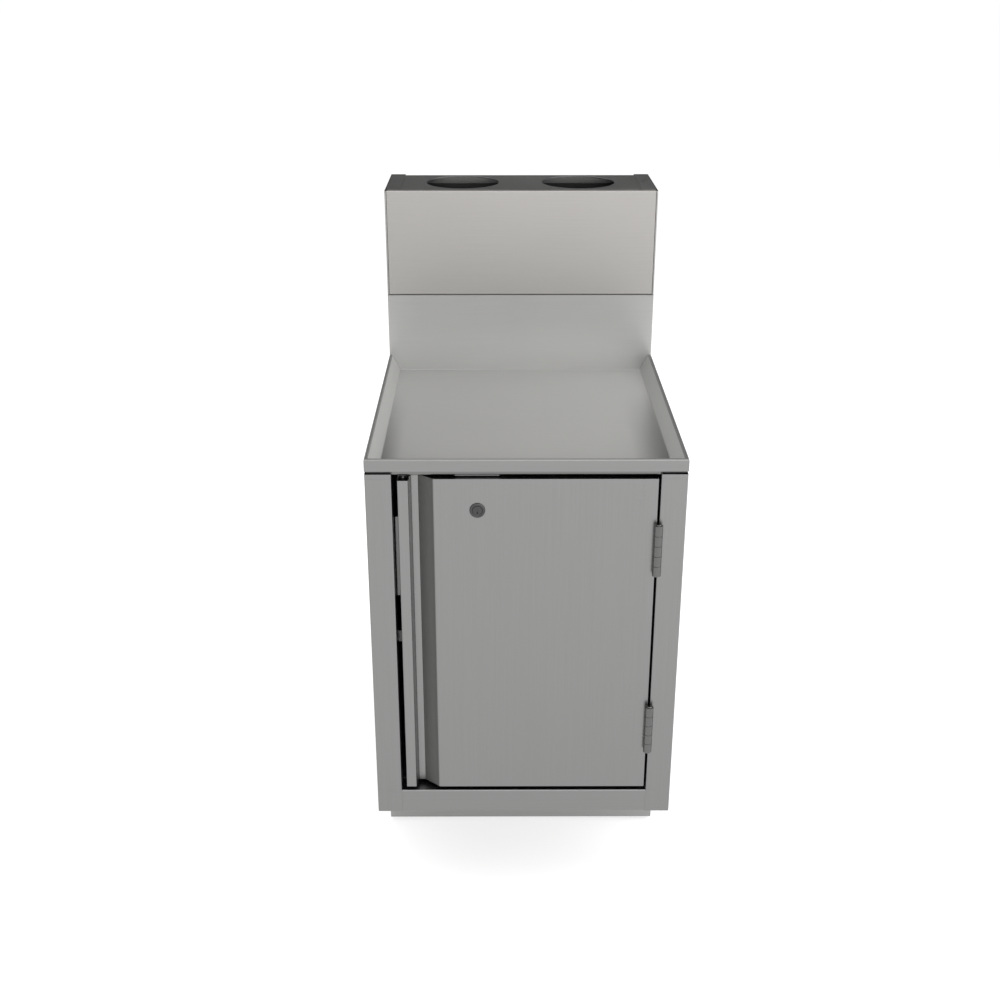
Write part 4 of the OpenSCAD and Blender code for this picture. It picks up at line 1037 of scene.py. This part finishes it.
bm = bmesh.new()
low, high = reach("cabinet_floor")
pan = [(high[1], low[2]), (high[1], high[2]), (low[1], high[2]), (low[1], low[2])]
draw_out(bm, bent(pan), "X", low[0] + BODY_T, high[0] - BODY_T)
for x in (low[0], high[0] - BODY_T):
    plate(bm, (x, low[1] + BODY_T, low[2] + BODY_T), (x + BODY_T, high[1] - BODY_T, high[2]))
piece("storage_floor", bm, mill_steel, "cabinet_floor")
bm = bmesh.new()
low, high = reach("shelf")
turned_under = [(high[1], low[2]), (high[1], high[2]), (low[1], high[2]), (low[1], low[2]),
                (low[1] + SHELF_HEM, low[2])]
draw_out(bm, bent(turned_under), "X", low[0], high[0])
piece("shelf_sheet", bm, mill_steel, "shelf")
print("shelf top", round(high[2], 1), "floor", round(reach("cabinet_floor")[1][2], 1))

# %% [markdown]
# The door's rear is closed by a flat plate on eight screws. Each head is a low dome with a round
# drive recess.
# %% Door back and its screws
SCREW_R, SCREW_HEAD, SCREW_IN = 3.6, 1.0, 7.2
DRIVE_R, SHANK_R, SHANK = 1.2, 2.0, 6.0

bm = bmesh.new()
plate(bm, (DOOR_LEFT, LIP_Y, DOOR_BOTTOM), (DOOR_RIGHT, DOOR_T, DOOR_TOP))
piece("door_back_sheet", bm, steel_upright, "door_back_plate", body="door", edge=0.3)
bm = bmesh.new()
right, left = DOOR_RIGHT - SCREW_IN, DOOR_LEFT + SCREW_IN
levels = [DOOR_BOTTOM + SCREW_IN, (DOOR_BOTTOM + DOOR_TOP) / 2, DOOR_TOP - SCREW_IN]
places = [(x, z) for x in (left, right) for z in levels]
places += [((SLANT_1 + right) / 2, z) for z in (levels[0], levels[2])]
screw = [(ON_AXIS, 0.3), (DRIVE_R, 0.3), (DRIVE_R, 0.95), (2.2, SCREW_HEAD), (3.1, 0.75),
         (SCREW_R, 0.25), (SCREW_R, -0.1), (SHANK_R, -0.1), (SHANK_R, -SHANK), (ON_AXIS, -SHANK)]
for x, z in places:
    turned(bm, [(r, DOOR_T + y) for r, y in screw], (x, z), "Y", sides=24)
piece("door_back_screws", bm, fastener_steel, "door_screws", body="door", edge=0)
print("screws", len(places))

# %% [markdown]
# Behind the door a nut holds the lock, and the cam sits on the plug's square tail under a screw.
# The cam is stamped from plate: a round boss with an arm that narrows a little and ends round.
# %% Lock nut, cam and its screw
CAM_LOW, CAM_HIGH = reach("lock_cam")
BOSS_R = LOCK_X - CAM_LOW[0]
ARM_R = 5.6
NUT_CHAMFER, NUT_BREAK = 0.9, 0.6

bm = bmesh.new()
nut = reach("lock_nut")
wide, bore = (nut[1][0] - nut[0][0]) / 2, THREAD_R + 0.1
hexagon = [(bore, nut[0][1]), (wide, nut[0][1]), (wide, nut[1][1] - NUT_BREAK),
           (wide - NUT_CHAMFER, nut[1][1]), (bore, nut[1][1])]
turned(bm, hexagon, LOCK_AXIS, "Y", sides=6)
piece("lock_nut_hex", bm, fastener_steel, "lock_nut", body="door")


def arc(x, r, first, sweep, steps):
    angles = [math.radians(first + sweep * i / steps) for i in range(steps + 1)]
    return [(x + r * math.cos(a), LOCK_Z + r * math.sin(a)) for a in angles]


bm = bmesh.new()
outline = arc(LOCK_X, BOSS_R, 45, 270, 24) + arc(CAM_HIGH[0] - ARM_R, ARM_R, -90, 180, 12)
draw_out(bm, outline, "Y", CAM_LOW[1], CAM_HIGH[1])
piece("lock_cam_arm", bm, lock_zinc, "lock_cam", body="lock", edge=0.3)
bm = bmesh.new()
tip, top = [corner[1] for corner in reach("cam_screw")]
seat = CAM_HIGH[1]
profile = [(ON_AXIS, top - 0.5), (2.2, top - 0.5), (2.6, top), (4.4, top), (5.0, top - 0.5),
           (5.0, seat), (SHANK_R, seat), (SHANK_R, tip), (ON_AXIS, tip)]
turned(bm, profile, LOCK_AXIS, "Y", sides=6)
piece("cam_screw_hex", bm, fastener_steel, "cam_screw", body="lock", edge=0)
print("cam reaches", round(CAM_HIGH[0] - LOCK_X, 1), "from the lock's axis")

# %% [markdown]
# The strike hangs from the upper rail, runs back over the door's top and turns down behind it,
# where the cam turns up against it. The catch bracket has a window for the magnet, so it is drawn
# out in three lengths, and the middle one is in two parts.
# %% Strike and catch bracket
OVER_DOOR = 1.0
STRIKE_SHORT, STRIKE_LAP = 2.0, 6.0
WINDOW_HALF = 23.2

bm = bmesh.new()
low, high = reach("lock_strike")
over = DOOR_TOP + OVER_DOOR
hung = [(low[1], high[2]), (low[1], over), (high[1] - STRIKE_SHORT, over)]
down = [(high[1], low[2]), (high[1], over + BODY_T), (high[1] - STRIKE_LAP, over + BODY_T)]
for path in (hung, down):
    draw_out(bm, bent(path), "X", low[0], high[0])
piece("strike_strip", bm, mill_steel, "lock_strike")
bm = bmesh.new()
low, high = reach("catch_bracket")
front = low[1]
MAGNET = reach("magnetic_catch")
window = (MAGNET[0][0] - GAP, MAGNET[1][0] + GAP)
middle = (low[2] + high[2]) / 2
levels = (low[2], middle - WINDOW_HALF, middle + WINDOW_HALF, high[2])
for end, start, stop in zip((high[0], window[0], high[0]), levels, levels[1:]):
    path = [(OPENING_LEFT, STILE_RETURN), (OPENING_LEFT, front), (end, front)]
    draw_out(bm, bent(path), "Z", start, stop)
plate(bm, (window[1], front, levels[1]), (high[0], front + BODY_T, levels[2]))
# painted shade: the catch bracket in the gap beside the door gets the darker bracket steel
piece("catch_bracket_sheet", bm, bracket_steel_painted_shade, "catch_bracket")
print("catch bracket", round(low[2], 1), "to", round(high[2], 1))

# %% [markdown]
# A magnetic catch is a small moulded block with two steel poles in its nose, which pull on a plate
# on the door. Its two ears lie behind the bracket. Two rubber stops above and below it take the
# door's weight as it closes.
# %% Catch, its plate and the rubber stops
EAR = 4.0
POLE_IN, POLE_T, POLE_DEEP, POLE_SHORT = 3.0, 2.0, 6.0, 8.0
NOSE = 0.5
RIVET_R, RIVET_IN, RIVET_PROUD = 2.0, 6.0, 0.2

low, high = MAGNET
ear_back = front + BODY_T
bm = bmesh.new()
plate(bm, (low[0], low[1] + NOSE, low[2] + EAR), (high[0], high[1], high[2] - EAR))
plate(bm, (low[0], ear_back, low[2]), (high[0], ear_back + EAR, high[2]))
moulded_faces = len(bm.faces)
for x in (low[0] + POLE_IN, high[0] - POLE_IN - POLE_T):
    pole_top = (x + POLE_T, low[1] + POLE_DEEP, high[2] - POLE_SHORT)
    plate(bm, (x, low[1], low[2] + POLE_SHORT), pole_top)
bm.faces.ensure_lookup_table()
for face in bm.faces[moulded_faces:]:
    face.material_index = 1
piece("magnet_block", bm, catch_plastic, "magnetic_catch", edge=0.4, second=mill_steel)
bm = bmesh.new()
low, high = reach("catch_keeper")
face_y, foot_y = high[1] - RIVET_PROUD, low[1] + RIVET_PROUD
plate(bm, low, (high[0], face_y, high[2]))
rivet = [(ON_AXIS, high[1]), (RIVET_R - 0.6, high[1]), (RIVET_R, face_y), (RIVET_R, foot_y),
         (ON_AXIS, foot_y)]
for z in (low[2] + RIVET_IN, high[2] - RIVET_IN):
    turned(bm, rivet, ((low[0] + high[0]) / 2, z), "Y", sides=24)
piece("keeper_plate", bm, mill_steel, "catch_keeper", body="door", edge=0.25)
bm = bmesh.new()
low, high = reach("door_bumpers")
stop_r = (high[0] - low[0]) / 2
dome = [(ON_AXIS, 0), (stop_r - 2.2, 0), (stop_r - 1.0, 0.2), (stop_r - 0.3, 0.6), (stop_r, 1.0),
        (stop_r, high[1] - low[1]), (ON_AXIS, high[1] - low[1])]
for z in (low[2] + stop_r, high[2] - stop_r):
    turned(bm, [(r, low[1] + y) for r, y in dome], ((low[0] + high[0]) / 2, z), "Y", sides=32)
piece("rubber_stops", bm, bumper_rubber, "door_bumpers", edge=0)
print("catch pieces made")

# %% [markdown]
# The floor and the world are both white to the camera, so the background has no edge. A part of the
# floor's white is a glow that only the camera and reflections see. The rest comes from its colour,
# on which the cabinet throws its soft shadow. To all other rays it is a plain pale floor without a
# glow.
# %% Floor and world
FLOOR_SIZE = 160.0
FLOOR_GLOW = 0.68
FLOOR_SEEN, FLOOR_TONE = 0.5, 0.85
WORLD_FILL = 0.65


def plain_sheet(name, size, place, turn=(0, 0, 0)):
    mesh = bpy.data.meshes.new(name)
    x, y = size[0] / 2, size[1] / 2
    corners = [(-x, -y, 0), (x, -y, 0), (x, y, 0), (-x, y, 0)]
    mesh.from_pydata(corners, [], [(0, 1, 2, 3)])
    obj = bpy.data.objects.new(name, mesh)
    bpy.context.scene.collection.objects.link(obj)
    obj.location = place
    obj.rotation_euler = turn
    return obj


def seen_or_mirrored(tree):
    rays = add_node(tree, "ShaderNodeLightPath").outputs
    either = joined(tree, "MAXIMUM", rays["Is Camera Ray"], rays["Is Glossy Ray"])
    return joined(tree, "MAXIMUM", either, rays["Is Transmission Ray"])


def matt(name):
    material, tree, shader = new_finish(name)
    shader.inputs["Roughness"].default_value = 1.0
    shader.inputs["Specular IOR Level"].default_value = 0.0
    return material, tree, shader


pale, tree, shader = matt("pale floor")
shader.inputs["Emission Color"].default_value = (1, 1, 1, 1)
shown = seen_or_mirrored(tree)
tree.links.new(spread(tree, shown, 0.0, FLOOR_GLOW, 0.0, 1.0), shader.inputs["Emission Strength"])
tones = tinted(tree, shown, (FLOOR_TONE,) * 3, (FLOOR_SEEN,) * 3)
tree.links.new(tones, shader.inputs["Base Color"])
finish_with(plain_sheet("floor", (FLOOR_SIZE, FLOOR_SIZE), (0, 0, 0)), pale)

world = bpy.data.worlds.new("white studio")
bpy.context.scene.world = world
world.use_nodes = True
tree = world.node_tree
sky = tree.nodes["Background"]
sky.inputs["Color"].default_value = (1, 1, 1, 1)
strength = spread(tree, seen_or_mirrored(tree), WORLD_FILL, 1.0, 0.0, 1.0)
tree.links.new(strength, sky.inputs["Strength"])
bpy.context.scene.view_settings.view_transform = "Standard"
print("floor", FLOOR_SIZE, "m, world fill", WORLD_FILL)

# %% [markdown]
# Metal has hardly any tone of its own: it shows what stands round it. The riser's upper part shows
# the bright front of the studio, low down and far off, and the plate on top of it shows the dark
# room behind. One wide lamp in front and one dark card behind give these two tones, and they are
# set far enough away for the brushed finish to blur their edges.
# %% Lamps and cards
def area_lamp(name, place, aim, size, watts):
    data = bpy.data.lights.new(name, "AREA")
    data.shape = "RECTANGLE"
    data.size, data.size_y = size
    data.energy = watts
    obj = bpy.data.objects.new(name, data)
    bpy.context.scene.collection.objects.link(obj)
    obj.location = place
    direction = Vector(aim) - Vector(place)
    obj.rotation_euler = direction.to_track_quat("-Z", "Y").to_euler()


def dark_card(name, size, place, turn, tone):
    card = plain_sheet(name, size, place, turn)
    material, _, shader = matt(name)
    shader.inputs["Base Color"].default_value = (tone, tone, tone, 1)
    finish_with(card, material)
    card.visible_camera = False
    card.visible_diffuse = False
    card.visible_shadow = False


area_lamp("front lamp", (1.2, -6.5, 1.7), (0, 0, 0.9), (5.0, 2.2), 100)
area_lamp("key lamp", (3.0, -0.9, 2.6), (0, 0, 0.8), (5.0, 5.0), 122)
area_lamp("top lamp", (-0.5, 0.2, 3.1), (0, 0, 0.75), (4.4, 4.4), 56)
dark_card("dark card behind", (7.0, 3.4), (0, 4.0, 2.5), (math.pi / 2, 0, 0), 0.075)
